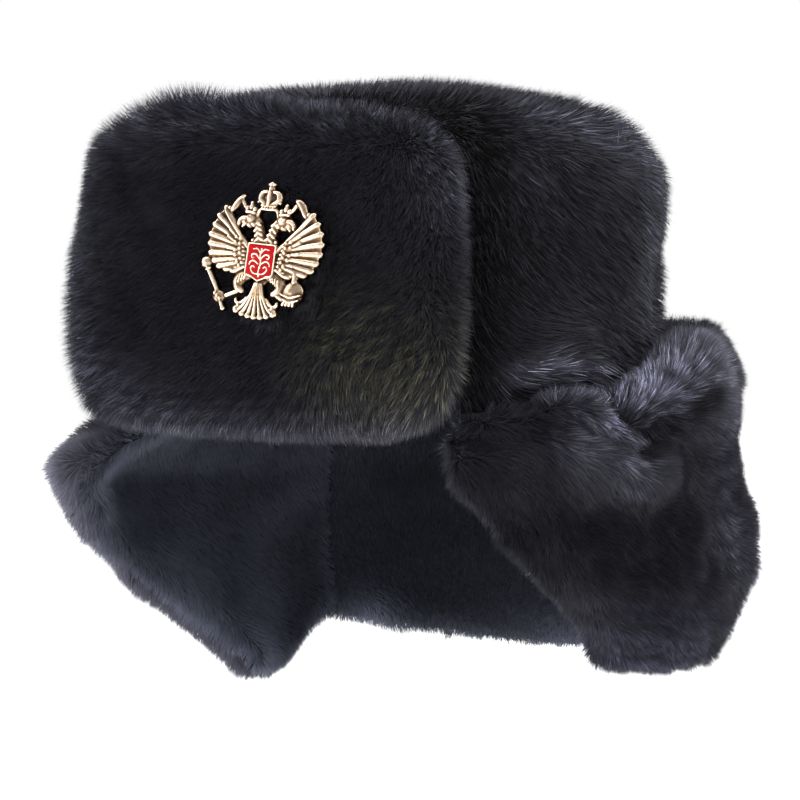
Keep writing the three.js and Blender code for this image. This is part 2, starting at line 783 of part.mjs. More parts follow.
// Red shield with a raised scroll of leaves
function shield() {
  const pieces = [plate(shieldOutline(0), SHIELD_THICKNESS)];
  for (const side of [-1, 1]) {
    pieces.push(bar([[0, -5.4, 0.45], [2.4 * side, -4, 0.5], [3.6 * side, -1.6, 0.45]], 1));
    pieces.push(bar([[0, 0.4, 0.45], [2.2 * side, 2.4, 0.5], [4 * side, 2, 0.45]], 1));
  }
  pieces.push(bar([[0, -5.6, 0.45], [0, -1, 0.6], [0, 4.6, 0.45]], 1));
  const made = fromManifold(joined(pieces));
  made.translate(0, 0, SHIELD_SEAT + GAP);
  return made;
}

const group = new THREE.Group();

function addPart(name, geometry, look, parent = group) {
  const part = new THREE.Mesh(geometry, new THREE.MeshStandardMaterial(look));
  part.name = name;
  parent.add(part);
}

addPart('crown', crown(), FUR);
addPart('visor', visor(), FUR);
addPart('ear_flap_left', furPanel(EAR_LEFT), FUR);
addPart('ear_flap_right', furPanel(EAR_RIGHT), FUR);
addPart('nape_flap', furPanel(NAPE), FUR);
addPart('ear_lining_left', fleecePanel(EAR_LEFT), FLEECE);
addPart('ear_lining_right', fleecePanel(EAR_RIGHT), FLEECE);
addPart('nape_lining', fleecePanel(NAPE), FLEECE);

// The badge stands upright on the visor's face
const badge = new THREE.Group();
badge.position.set(BADGE_X, -VISOR_FRONT - GAP, BADGE_Z);
badge.rotation.set(Math.PI / 2, 0, 0);
const leaning = new THREE.Group();
leaning.rotation.z = rad(BADGE_LEAN);
badge.add(leaning);
group.add(badge);
addPart('badge_eagle', eagle(), GOLD, leaning);
addPart('badge_shield', shield(), ENAMEL, leaning);

const pin = new THREE.CylinderGeometry(PIN_RADIUS, PIN_RADIUS, PIN_LENGTH, 12);
pin.rotateX(Math.PI / 2);
pin.translate(0, 0, -GAP - PIN_LENGTH / 2);
addPart('badge_pin', pin, STEEL, badge);

export default group;
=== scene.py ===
"""The looks of a fur winter hat: plush fur and fleece grown on padded bodies, and a cast badge.

Everything is in metres in the part's own frame: +Z up, the wearer looks along -Y. The fur is real
geometry: each hair is one thin triangle that stands on a smooth body made from the part's solid.
"""

import math

import bpy
import numpy as np
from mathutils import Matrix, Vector
from mathutils.bvhtree import BVHTree


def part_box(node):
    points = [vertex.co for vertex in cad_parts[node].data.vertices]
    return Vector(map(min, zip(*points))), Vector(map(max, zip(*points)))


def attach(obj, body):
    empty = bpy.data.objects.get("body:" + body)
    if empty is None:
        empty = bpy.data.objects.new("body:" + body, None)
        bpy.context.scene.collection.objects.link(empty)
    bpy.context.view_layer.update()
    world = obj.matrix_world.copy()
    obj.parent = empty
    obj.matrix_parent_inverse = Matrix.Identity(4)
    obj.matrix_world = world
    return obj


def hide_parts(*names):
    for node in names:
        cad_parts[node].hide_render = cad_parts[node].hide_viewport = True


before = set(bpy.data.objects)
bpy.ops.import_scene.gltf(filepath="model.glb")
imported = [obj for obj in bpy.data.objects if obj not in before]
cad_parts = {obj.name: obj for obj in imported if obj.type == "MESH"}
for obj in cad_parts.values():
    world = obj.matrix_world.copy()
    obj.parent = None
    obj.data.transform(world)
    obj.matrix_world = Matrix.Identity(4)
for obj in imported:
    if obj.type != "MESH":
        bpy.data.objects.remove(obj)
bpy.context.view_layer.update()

MM = 0.001

# Camera, fitted to the photo: its place, the point it looks at and its focal length
CAMERA_PLACE = Vector((0.3602, -0.6247, 0.0435))
CAMERA_TARGET = Vector((-0.0111, -0.0067, -0.0006))
CAMERA_LENS = 75.4
CAMERA_SENSOR = 36

FLOOR_HEIGHT = -0.45
FLOOR_RADIUS = 6.0
FLOOR_SIDES = 96

# The softboxes: where each stands, what it points at, its size in metres and its power
SOFTBOXES = [
    {"name": "left_box", "place": (-0.9, -0.5, 0.6), "aim": (0, 0, 0), "size": (0.8, 1.2), "watts": 14},
    {"name": "low_box", "place": (-0.7, -0.9, -0.2), "aim": (0, 0, -0.03), "size": (0.8, 0.6), "watts": 6},
    {"name": "right_box", "place": (1.1, 0.2, 0.5), "aim": (0, 0, 0), "size": (0.8, 1.2), "watts": 14},
    {"name": "top_box", "place": (0.0, 0.1, 1.3), "aim": (0, 0, 0), "size": (1.2, 1.2), "watts": 12},
]

# Crossing waves that add up to one smooth random field
WAVES = 14

# A body is covered where another piece lies this close over it, and grows hair only on faces of
# which more than this share is open
COVERED_WITHIN = 4 * MM
OPEN_ENOUGH = 0.3

# Unruly fur turns together in locks and in wide sweeps, and its length changes in lumps: the size
# of each and how much it does
LOCK_SIZE = 9 * MM
LOCK_TURN = 0.13
SWEEP_SIZE = 38 * MM
SWEEP_TURN = 0.2
LUMP_SIZE = 24 * MM
LUMP_GROWTH = 0.1

# Each hair's own turn, the spread of its length and width, and how deep its root stands.
HAIR_TURN = 0.14
HAIR_LENGTHS = (0.78, 1.1)
HAIR_WIDTHS = (0.7, 1.2)
ROOT_DEPTH = 0.4 * MM

# The crown's pile: the height where its side turns into its top, its pull outward for each metre
# from the middle, to the back and down, and how fast the pull down is lost above that height
CROWN_SHOULDER = 80 * MM
CROWN_OUTWARD = 4
CROWN_BACKWARD = 0.35
CROWN_DOWN = 1.4
CROWN_DOWN_LEAST = 0.1
CROWN_DOWN_LOSS = 30

# How strongly a brushed spot draws the pile, and how flat, short or long it may make it
BRUSH_PULL = 4
FLAT_LIMIT = 1.5
LONGER_LIMITS = (-0.6, 1.0)

# Painted glints streaked through the painted highlights: the size, contrast and limits of the locks
# that share a tone, the least that a hair gets, what the brightest hair gets on top, and how rare
# bright hairs are
STREAK_SIZE = 3.4 * MM
STREAK_CONTRAST = 0.9
STREAK_LIMITS = (0.1, 2.6)
STREAK_LEAST = 0.25
STREAK_MOST = 4.2
STREAK_RARITY = 5

# The map for baking: its margin, the span that the hairs are spread over, and each hair's patch
MAP_MARGIN = 0.01
MAP_SPAN = 0.97
MAP_PATCH = 0.003

# The share of a painted highlight's gain that the body under the hairs gets, and the darkest tone
# that painted shade leaves
BODY_STREAK = 0.8
DARKEST_TONE = 0.08

# Each soft piece: the solid it replaces, its slot, the grain and smoothing rounds of its body, how far
# the body lies inside the solid, how many hairs it has, their length, width and lean from upright,
# and how unruly they are. Sizes are in millimetres.
SOFT = [
    {"node": "crown", "slot": "fur", "voxel": 5.2, "smooth": 7, "sink": 4.5, "seed": 11,
     "hairs": 142000, "pile": 7.5, "width": 0.47, "lean": 0.9, "unrest": 0.42},
    {"node": "visor", "slot": "fur", "voxel": 3.4, "smooth": 10, "sink": 4.5, "seed": 23,
     "hairs": 185000, "pile": 7.5, "width": 0.33, "lean": 0.4, "unrest": 0.28},
    {"node": "ear_flap_left", "slot": "fur", "voxel": 2.6, "smooth": 9, "sink": 3.2, "seed": 37,
     "hairs": 155000, "pile": 7.0, "width": 0.36, "lean": 0.5, "unrest": 0.7},
    {"node": "ear_flap_right", "slot": "fur", "voxel": 3.4, "smooth": 6, "sink": 3.2, "seed": 41,
     "hairs": 62000, "pile": 7.0, "width": 0.5, "lean": 0.7, "unrest": 0.5},
    {"node": "nape_flap", "slot": "fur", "voxel": 4.0, "smooth": 6, "sink": 3.2, "seed": 53,
     "hairs": 52000, "pile": 7.0, "width": 0.7, "lean": 0.5, "unrest": 1.0},
    {"node": "ear_lining_left", "slot": "fleece", "voxel": 3.0, "smooth": 4, "sink": 1.6, "seed": 61,
     "hairs": 15000, "pile": 4.5, "width": 0.6, "lean": 0.4, "unrest": 0.6},
    {"node": "ear_lining_right", "slot": "fleece", "voxel": 3.0, "smooth": 4, "sink": 1.6, "seed": 71,
     "hairs": 64000, "pile": 4.5, "width": 0.36, "lean": 0.9, "unrest": 0.3},
    {"node": "nape_lining", "slot": "fleece", "voxel": 3.8, "smooth": 4, "sink": 1.6, "seed": 83,
     "hairs": 48000, "pile": 4.5, "width": 0.4, "lean": 0.9, "unrest": 0.3},
]

# Folds of the near flap and the crown above it. Each runs along a line and fades out over its width:
# a crease has a negative height and a ridge a positive one. All of it is in millimetres.
FOLDS = [
    {"from": (119, 14, 4), "to": (109, -32, -15), "width": 5.5, "height": -4.5},
    {"from": (109, -32, -13), "to": (98, -60, -6), "width": 5.0, "height": -2.0},
    {"from": (97, -66, -14), "to": (113, -14, -25), "width": 8.0, "height": 6.0},
    {"from": (113, -24, 8), "to": (116, 12, 20), "width": 12.0, "height": 3.5},
    {"from": (114, 18, 10), "to": (104, 62, 24), "width": 16.0, "height": 5.0},
    {"from": (76, -73, 16), "to": (96, -17, 19), "width": 4.0, "height": 3.5},
    {"from": (78, -69, 9), "to": (99, -18, 11), "width": 3.0, "height": -3.0},
    {"from": (118, 17, -45), "to": (115, 20, -72), "width": 3.0, "height": -2.5},
    {"from": (121, 40, -2), "to": (121, 44, -8), "width": 14.0, "height": 2.0},
    {"from": (80, -82, 4), "to": (84, -76, 2), "width": 7.0, "height": -3.0},
    {"from": (92, -62, 4), "to": (96, -56, 2), "width": 7.0, "height": 3.0},
    {"from": (100, -46, 4), "to": (102, -42, 2), "width": 6.0, "height": -3.0},
    {"from": (64, -102, -18), "to": (84, -80, -56), "width": 8.0, "height": 3.0},
    {"from": (84, -80, -56), "to": (99, -38, -94), "width": 9.0, "height": 4.5},
]

# Where the hat is fuller or flatter than its solids, in the same form
SWELLS = [
    {"from": (84, 0, 112), "to": (86, 20, 108), "width": 22.0, "height": 2.5},
    {"from": (-60, 0, 128), "to": (10, 0, 128), "width": 46.0, "height": 5.5},
    {"from": (96, 50, 30), "to": (96, 52, 58), "width": 24.0, "height": -6.0},
    {"from": (88, 48, 92), "to": (84, 48, 104), "width": 14.0, "height": 2.5},
    {"from": (-99, -114, 84), "to": (-96, -114, 98), "width": 15.0, "height": -3.0},
    {"from": (-99, -114, 70), "to": (-99, -114, 30), "width": 14.0, "height": 1.0},
    {"from": (-42, -108, 114), "to": (-5, -108, 114), "width": 16.0, "height": 5.0},
    {"from": (-92, -108, -5), "to": (-98, -110, -12), "width": 10.0, "height": 5.0},
    {"from": (-105, -112, -26), "to": (-112, -104, -46), "width": 15.0, "height": 5.0},
    {"from": (-113, -96, -54), "to": (-112, -64, -78), "width": 15.0, "height": 2.5},
    {"from": (-112, -50, -92), "to": (-106, -10, -122), "width": 14.0, "height": 2.5},
    {"from": (-84, 76, -112), "to": (-40, 110, -118), "width": 10.0, "height": 3.0},
    {"from": (112, 84, -20), "to": (114, 84, -50), "width": 18.0, "height": -2.0},
    {"from": (106, 40, 34), "to": (112, 70, 30), "width": 18.0, "height": -2.0},
]

# Painted light and shade on each piece's pile: painted highlights and sheen on lobes, rims and edges,
# and painted shade in creases, seams and the gap beside the visor. Each runs along a line, within a
# reach, both in millimetres. A gain of 1 about doubles its colour there, and a gain of -1 leaves it
# nearly black. A tint colours what is added. Lighter spots are streaky, unless they are even.
PAINTED_LIGHT = {"visor": [
    {"from": (-84, -121, 12), "to": (-50, -124, -2), "reach": 13, "gain": 2.8},
    {"from": (-40, -124, -4), "to": (70, -116, -2), "reach": 9, "gain": 2.3},
    {"from": (40, -124, 20), "to": (62, -121, 16), "reach": 23, "gain": 2.2, "tint": (1.05, 1.0, 0.4)},
    {"from": (66, -116, 102), "to": (76, -114, 75), "reach": 9, "gain": 2.2},
    {"from": (76, -114, 75), "to": (76, -114, 20), "reach": 6, "gain": 0.3},
    {"from": (-80, -118, 112), "to": (60, -116, 110), "reach": 10, "gain": 1.9},
    {"from": (-96, -118, 90), "to": (-96, -118, 25), "reach": 16, "gain": 2.1},
    {"from": (76, -102, 98), "to": (80, -102, 15), "reach": 7, "gain": -0.8},
], "crown": [
    {"from": (80, -60, 62), "to": (92, -10, 62), "reach": 32, "gain": -0.5},
    {"from": (64, -82, 122), "to": (68, -80, 0), "reach": 11, "gain": -0.95},
    {"from": (52, -78, 125), "to": (71, -74, 108), "reach": 14, "gain": -0.9},
    {"from": (74, -74, 100), "to": (74, -74, 25), "reach": 1.6, "gain": -0.6},
    {"from": (76, -52, 116), "to": (88, 10, 108), "reach": 10, "gain": 3.2},
    {"from": (92, 30, 100), "to": (96, 28, 45), "reach": 20, "gain": 1.4},
    {"from": (81, -64, 92), "to": (82, -62, 88), "reach": 7, "gain": 1.6},
    {"from": (85, -58, 74), "to": (86, -56, 72), "reach": 6, "gain": 1.4},
    {"from": (76, -71, 15), "to": (86, -50, 18), "reach": 4.5, "gain": 5.5},
    {"from": (88, -44, 13), "to": (97, -18, 17), "reach": 4.5, "gain": 4.5},
    {"from": (74, -74, 11), "to": (80, -64, 12), "reach": 3.5, "gain": 2.5},
    {"from": (78, -69, 8), "to": (99, -18, 10), "reach": 4, "gain": -0.8},
], "ear_flap_left": [
    {"from": (105, -36, 4), "to": (111, -8, 14), "reach": 13, "gain": 9.4},
    {"from": (113, 2, 18), "to": (117, 28, 20), "reach": 14, "gain": 3.2},
    {"from": (76, -94, -4), "to": (86, -80, -8), "reach": 12, "gain": 0.2, "even": True},
    {"from": (119, 14, 3), "to": (109, -32, -14), "reach": 4, "gain": -6.0},
    {"from": (84, -82, -3), "to": (108, -42, -8), "reach": 5, "gain": -0.6},
    {"from": (92, -62, 3), "to": (104, -38, -1), "reach": 5, "gain": 4.0},
    {"from": (94, -70, -8), "to": (110, -34, -22), "reach": 5.5, "gain": 2.0},
    {"from": (72, -96, -30), "to": (88, -72, -62), "reach": 12, "gain": -0.25},
    {"from": (120, 30, -10), "to": (121, 40, -60), "reach": 12, "gain": 1.6},
    {"from": (118, 18, -50), "to": (116, 18, -68), "reach": 3.5, "gain": 2.0},
    {"from": (82, -80, -40), "to": (112, -5, -52), "reach": 22, "gain": -0.55},
    {"from": (96, -30, -98), "to": (110, 20, -104), "reach": 20, "gain": 1.5, "tint": (1, 0.95, 1.2)},
    {"from": (66, -100, -18), "to": (86, -76, -56), "reach": 2.6, "gain": 1.5},
    {"from": (86, -76, -56), "to": (99, -33, -92), "reach": 2.6, "gain": 1.8},
], "nape_flap": [
    {"from": (117, 72, -12), "to": (119, 80, -66), "reach": 13, "gain": 1.4},
    {"from": (110, 78, 0), "to": (112, 82, -94), "reach": 26, "gain": 2.2, "tint": (1, 0.98, 1.08)},
], "ear_flap_right": [
    {"from": (-94, -112, -6), "to": (-109, -112, -31), "reach": 22, "gain": 2.4,
     "tint": (1.03, 1.01, 1.02), "even": True},
    {"from": (-109, -112, -31), "to": (-112, -78, -64), "reach": 20, "gain": 3.0,
     "tint": (1.03, 1.01, 1.02), "even": True},
    {"from": (-112, -78, -64), "to": (-105, -4, -125), "reach": 20, "gain": 2.8,
     "tint": (1.03, 1.01, 1.02), "even": True},
], "ear_lining_right": [
    {"from": (-104, -27, -93), "to": (-95, 0, -112), "reach": 30, "gain": 0.8, "even": True},
    {"from": (-100, -100, -20), "to": (-108, -80, -45), "reach": 16, "gain": 0.25, "even": True},
    {"from": (-96, -70, 0), "to": (-92, 20, -30), "reach": 30, "gain": -0.25},
], "nape_lining": [
    {"from": (-84, 76, -108), "to": (5, 124, -124), "reach": 10, "gain": 1.4, "even": True},
    {"from": (-60, 105, -40), "to": (60, 105, -50), "reach": 60, "gain": -0.5},
]}

# Where each piece's pile is brushed another way: the way it is drawn there, how much flatter it lies
# and the share by which it is longer or shorter, each where it changes. Places and reaches are in
# millimetres.
BRUSHED = {"visor": [
    {"at": (4, -127, 56), "reach": 27, "flat": 0.3, "longer": -0.6},
    {"at": (66, -118, 92), "reach": 20, "way": (0.4, 0, -0.6), "flat": 0.5},
    {"at": (32, -124, 6), "reach": 14, "way": (0.9, 0, -1), "flat": 1.0, "longer": 0.25},
    {"at": (68, -120, 8), "reach": 14, "way": (-1, 0, -1), "flat": 1.0, "longer": 0.25},
    {"at": (-45, -112, 114), "reach": 30, "longer": 0.5},
    {"at": (-100, -116, 28), "reach": 26, "longer": 0.4},
    {"at": (-98, -116, 88), "reach": 20, "flat": 0.1, "longer": -0.3},
], "ear_flap_left": [
    {"at": (109, -24, 6), "reach": 14, "way": (0, -0.4, 1), "flat": 1.1, "longer": 0.4},
    {"at": (115, 4, 14), "reach": 15, "way": (0, 0.3, 1), "flat": 1.1, "longer": 0.4},
    {"at": (119, 28, 12), "reach": 15, "way": (0, 1, 0.4), "flat": 1.1, "longer": 0.1},
    {"at": (100, -62, -14), "reach": 14, "way": (0, 0.9, -0.5), "flat": 1.2, "longer": 0.4},
    {"at": (110, -30, -25), "reach": 14, "way": (0, 0.9, -0.9), "flat": 1.2, "longer": 0.4},
    {"at": (68, -102, -6), "reach": 14, "way": (0.5, 0.9, -0.8), "flat": 1.2, "longer": 0.1},
    {"at": (76, -90, -38), "reach": 11, "way": (0.4, 0.5, -1), "flat": 0.6, "longer": -0.4},
    {"at": (90, -66, -66), "reach": 12, "way": (0.4, 0.5, -1), "flat": 0.6, "longer": -0.4},
    {"at": (80, -90, -6), "reach": 17, "way": (0.6, 0.6, -0.4), "flat": 1.4, "longer": 0.1},
], "nape_flap": [
    {"at": (112, 80, -30), "reach": 26, "way": (0, 0, -1), "flat": 0.3, "longer": -0.4},
    {"at": (-10, 130, -126), "reach": 34, "longer": -0.35},
    {"at": (50, 125, -128), "reach": 34, "longer": -0.35},
], "ear_flap_right": [
    {"at": (-98, -112, -10), "reach": 18, "way": (-1, 0, 0.4), "flat": 1.4},
    {"at": (-108, -110, -32), "reach": 20, "way": (-1, 0.1, -0.3), "flat": 1.2, "longer": 0.1},
    {"at": (-112, -84, -62), "reach": 26, "way": (-0.8, 0, -0.8), "flat": 0.8},
    {"at": (-108, -30, -104), "reach": 36, "way": (-0.6, 0, -1), "flat": 0.8},
], "nape_lining": [
    {"at": (-66, 92, -116), "reach": 18, "way": (0, 0, -1), "longer": 0.8},
    {"at": (-10, 118, -122), "reach": 40, "way": (0, 0, -1), "longer": -0.4},
], "ear_lining_right": [
    {"at": (-98, -106, -16), "reach": 16, "way": (-1, -0.3, 0.6), "flat": 0.5, "longer": 1.0},
    {"at": (-110, -84, -54), "reach": 26, "way": (-1, -0.6, -0.5), "flat": 0.2, "longer": 0.8},
    {"at": (-106, -24, -106), "reach": 30, "way": (-0.8, -0.5, -1), "flat": 0.2, "longer": 0.8},
], "crown": [
    {"at": (84, -50, 18), "reach": 22, "way": (0.2, 0.6, 0.5), "flat": 0.6, "longer": 0.1},
    {"at": (88, -5, 112), "reach": 24, "way": (0.6, -0.1, 0.6), "flat": 0.2, "longer": 0.6},
    {"at": (0, 0, 126), "reach": 80, "longer": 0.25},
    {"at": (97, 18, 58), "reach": 22, "way": (0, 0, -1), "flat": 0.5, "longer": -0.45},
]}


def link(made):
    bpy.context.scene.collection.objects.link(made)
    return made


def unit(vectors):
    return vectors / np.maximum(np.linalg.norm(vectors, axis=1, keepdims=True), 1e-12)


# Materials


def new_material(name):
    material = bpy.data.materials.new(name)
    material.use_nodes = True
    tree = material.node_tree
    return material, tree, tree.nodes["Principled BSDF"]


def noise(tree, scale, detail=4.0):
    places = tree.nodes.new("ShaderNodeTexCoord")
    made = tree.nodes.new("ShaderNodeTexNoise")
    made.inputs["Scale"].default_value = scale
    made.inputs["Detail"].default_value = detail
    made.inputs["Roughness"].default_value = 0.55
    tree.links.new(places.outputs["Object"], made.inputs["Vector"])
    return made


def attribute(tree, name):
    made = tree.nodes.new("ShaderNodeAttribute")
    made.attribute_name = name
    return made


def ramp(tree, value, stops):
    made = tree.nodes.new("ShaderNodeValToRGB")
    tree.links.new(value, made.inputs["Fac"])
    elements = made.color_ramp.elements
    while len(elements) < len(stops):
        elements.new(0.5)
    for element, (place, color) in zip(elements, stops):
        element.position = place
        element.color = (*color, 1)
    return made


def bump(tree, shader, height, strength, distance):
    made = tree.nodes.new("ShaderNodeBump")
    made.inputs["Strength"].default_value = strength
    made.inputs["Distance"].default_value = distance
    tree.links.new(height, made.inputs["Height"])
    tree.links.new(made.outputs["Normal"], shader.inputs["Normal"])


def product(tree, first, second):
    made = tree.nodes.new("ShaderNodeMix")
    made.data_type = "RGBA"
    made.blend_type = "MULTIPLY"
    made.inputs["Factor"].default_value = 1.0
    tree.links.new(first, made.inputs["A"])
    tree.links.new(second, made.inputs["B"])
    return made


def pile_material(name, root, tip):
    """Hair darker at its root than its tip as painted shade in the pile, uneven from patch to patch."""
    material, tree, shader = new_material(name)
    hair = ramp(tree, attribute(tree, "along").outputs["Fac"], [(0.0, root), (1.0, tip)])
    # Times the painted highlights and painted shade stored in the tone attribute
    toned = product(tree, hair.outputs["Color"], attribute(tree, "tone").outputs["Color"])
    patches = noise(tree, scale=45.0)
    shade = ramp(tree, patches.outputs["Fac"], [(0.3, (0.8, 0.81, 0.84)), (0.7, (1.15, 1.14, 1.12))])
    whole = product(tree, toned.outputs["Result"], shade.outputs["Color"])
    tree.links.new(whole.outputs["Result"], shader.inputs["Base Color"])
    shader.inputs["Roughness"].default_value = 0.6
    shader.inputs["Specular IOR Level"].default_value = 0.32
    shader.inputs["Sheen Weight"].default_value = 0.12
    shader.inputs["Sheen Roughness"].default_value = 0.4
    shader.inputs["Specular Tint"].default_value = (0.86, 0.87, 1.0, 1)
    shader.inputs["Sheen Tint"].default_value = (0.74, 0.76, 0.88, 1)
    return material


def hide_material(name, color):
    """Dark backing in its pile's tones: painted shade between hairs, with their painted light and shade."""
    material, tree, shader = new_material(name)
    grain = noise(tree, scale=420.0, detail=3.0)
    dark = tuple(0.5 * part for part in color)
    shade = ramp(tree, grain.outputs["Fac"], [(0.35, dark), (0.7, color)])
    whole = product(tree, shade.outputs["Color"], attribute(tree, "tone").outputs["Color"])
    tree.links.new(whole.outputs["Result"], shader.inputs["Base Color"])
    shader.inputs["Roughness"].default_value = 0.95
    shader.inputs["Specular IOR Level"].default_value = 0.1
    bump(tree, shader, grain.outputs["Fac"], strength=0.6, distance=0.4 * MM)
    return material


def gold_material():
    """Pale gold plating, with painted shade brown in the hollows and painted highlights on high points."""
    material, tree, shader = new_material("gold_plating")
    # Painted shade in the hollows and painted highlights on the high points of the relief
    relief_light = ramp(
        tree, attribute(tree, "height").outputs["Fac"],
        [(0.12, (0.03, 0.016, 0.008)), (0.46, (0.17, 0.105, 0.06)), (0.82, (0.86, 0.69, 0.52))],
    )
    patches = noise(tree, scale=900.0)
    tone = ramp(tree, patches.outputs["Fac"], [(0.3, (0.78, 0.76, 0.74)), (0.65, (1.0, 1.0, 1.0))])
    whole = product(tree, relief_light.outputs["Color"], tone.outputs["Color"])
    tree.links.new(whole.outputs["Result"], shader.inputs["Base Color"])
    shader.inputs["Metallic"].default_value = 1.0
    shader.inputs["Roughness"].default_value = 0.2
    bump(tree, shader, patches.outputs["Fac"], strength=0.25, distance=0.15 * MM)
    return material


def enamel_material():
    material, tree, shader = new_material("red_enamel")
    patches = noise(tree, scale=500.0)
    shade = ramp(tree, patches.outputs["Fac"], [(0.3, (0.26, 0.001, 0.003)), (0.7, (0.37, 0.002, 0.006))])
    tree.links.new(shade.outputs["Color"], shader.inputs["Base Color"])
    shader.inputs["Roughness"].default_value = 0.25
    shader.inputs["Specular IOR Level"].default_value = 0.05
    return material


# Bodies: a smooth form inside each soft solid


def fused_copy(mesh, grain, rounds):
    """The mesh made over as one even skin of that grain, and smoothed."""
    rough = link(bpy.data.objects.new("rough", mesh))
    remesh = rough.modifiers.new("remesh", "REMESH")
    remesh.mode = "VOXEL"
    remesh.voxel_size = grain
    smooth = rough.modifiers.new("smooth", "SMOOTH")
    smooth.factor = 0.5
    smooth.iterations = rounds
    graph = bpy.context.evaluated_depsgraph_get()
    fused = bpy.data.meshes.new_from_object(rough.evaluated_get(graph), depsgraph=graph)
    bpy.data.objects.remove(rough)
    return fused


def shade_smooth(mesh):
    mesh.polygons.foreach_set("use_smooth", np.ones(len(mesh.polygons), dtype=bool))


def vertex_arrays(mesh):
    count = len(mesh.vertices)
    places = np.empty(count * 3)
    mesh.vertices.foreach_get("co", places)
    normals = np.empty(count * 3)
    mesh.vertices.foreach_get("normal", normals)
    return places.reshape(-1, 3), normals.reshape(-1, 3)


def tree_of_others(node):
    corners = []
    faces = []
    for name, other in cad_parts.items():
        if name == node:
            continue
        start = len(corners)
        corners.extend(vertex.co.copy() for vertex in other.data.vertices)
        faces.extend([start + index for index in face.vertices] for face in other.data.polygons)
    return BVHTree.FromPolygons(corners, faces)


def covered_share(places, normals, others):
    """For each vertex, 1 where another piece lies right over the body and 0 where it is open."""
    shares = np.zeros(len(places))
    for i, (place, normal) in enumerate(zip(places, normals)):
        hit = others.ray_cast(Vector(place), Vector(normal), COVERED_WITHIN)
        if hit[0] is not None:
            shares[i] = 1.0
    return shares


def nearness(places, start, end, reach):
    """1 on the line from start to end, a third at the reach and next to nothing at twice that.

    The line and the reach are in millimetres.
    """
    start = np.array(start) * MM
    way = np.array(end) * MM - start
    share = np.clip((places - start) @ way / max(way @ way, 1e-12), 0, 1)
    away = np.linalg.norm(places - start - share[:, None] * way, axis=1)
    return np.exp(-((away / (reach * MM)) ** 2))


def folds_at(places):
    """How far the folds lift or press the fur at each place."""
    total = np.zeros(len(places))
    for fold in FOLDS + SWELLS:
        total += fold["height"] * MM * nearness(places, fold["from"], fold["to"], fold["width"])
    return total


def soft_body(spec):
    """A smooth form inside a soft solid, folded and swelled, and how far each vertex is covered."""
    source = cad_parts[spec["node"]]
    mesh = fused_copy(source.data.copy(), spec["voxel"] * MM, spec["smooth"])
    places, normals = vertex_arrays(mesh)
    covered = covered_share(places, normals, tree_of_others(spec["node"]))
    places -= normals * (spec["sink"] * MM * (1 - covered))[:, None]
    places += normals * (folds_at(places) * (1 - covered))[:, None]
    mesh.vertices.foreach_set("co", places.ravel())
    mesh.update()
    shade_smooth(mesh)
    # The body takes its pile's painted highlights and painted shade
    add_painted_light(mesh, painted_light_tones(spec["node"], places, BODY_STREAK))
    body = link(bpy.data.objects.new(spec["node"] + "_body", mesh))
    return body, covered


# Fur


def drift(places, size, seed):
    """A smooth random vector at each place, whose patches are about size across."""
    random = np.random.default_rng(seed)
    total = np.zeros_like(places)
    for _ in range(WAVES):
        heading = random.normal(size=3)
        heading /= np.linalg.norm(heading)
        stretch = random.uniform(0.7, 1.5)
        start = random.uniform(0, math.tau)
        push = random.normal(size=3)
        phase = places @ heading * (math.tau * stretch / size) + start
        total += np.sin(phase)[:, None] * push
    return total / math.sqrt(WAVES / 2)


def combed(node, places):
    """The way the pile is brushed at each place, before it is laid along the surface.

    It hangs down. The crown's is also drawn outward and to the back, which shows most on its top,
    where the pull down fades.
    """
    ways = np.zeros_like(places)
    ways[:, 2] = -1.0
    if node == "crown":
        over_shoulder = np.maximum(places[:, 2] - CROWN_SHOULDER, 0)
        ways[:, 0] = CROWN_OUTWARD * places[:, 0]
        ways[:, 1] = CROWN_OUTWARD * places[:, 1] + CROWN_BACKWARD
        down = CROWN_DOWN - over_shoulder * CROWN_DOWN_LOSS
        ways[:, 2] = -np.clip(down, CROWN_DOWN_LEAST, CROWN_DOWN)
    return ways


def brushed(node, places, ways):
    """The brushed ways, how much flatter the pile lies there, and how much longer it is."""
    flat = np.zeros(len(places))
    longer = np.zeros(len(places))
    for spot in BRUSHED.get(node, []):
        near = nearness(places, spot["at"], spot["at"], spot["reach"])
        ways = ways + near[:, None] * BRUSH_PULL * np.array(spot.get("way", (0, 0, 0)))
        flat += near * spot.get("flat", 0)
        longer += near * spot.get("longer", 0)
    return ways, np.minimum(flat, FLAT_LIMIT), np.clip(longer, *LONGER_LIMITS)


def painted_glints(places, seed):
    """How much of a painted highlight's gain each hair gets: painted glints in locks, among dark hairs."""
    random = np.random.default_rng(seed)
    locks = np.clip(1 + STREAK_CONTRAST * drift(places, STREAK_SIZE, seed)[:, 0], *STREAK_LIMITS)
    return locks * (STREAK_LEAST + STREAK_MOST * random.uniform(size=len(places)) ** STREAK_RARITY)


def painted_light_tones(node, places, streaks):
    """What the pile's colour is multiplied by at each place: its painted highlights and painted shade."""
    total = np.ones((len(places), 3))
    for shade in PAINTED_LIGHT.get(node, []):
        near = nearness(places, shade["from"], shade["to"], shade["reach"])
        tint = np.array(shade.get("tint", (1, 1, 1)))
        share = 1.0 if shade["gain"] < 0 or shade.get("even") else streaks
        total += (shade["gain"] * near * share)[:, None] * tint
    return np.maximum(total, DARKEST_TONE)


def add_painted_light(mesh, tone):
    # The painted highlights and painted shade, stored as the tone attribute
    stored = mesh.attributes.new("tone", "FLOAT_COLOR", "POINT")
    stored.data.foreach_set("color", np.column_stack((tone, np.ones(len(tone)))).ravel())


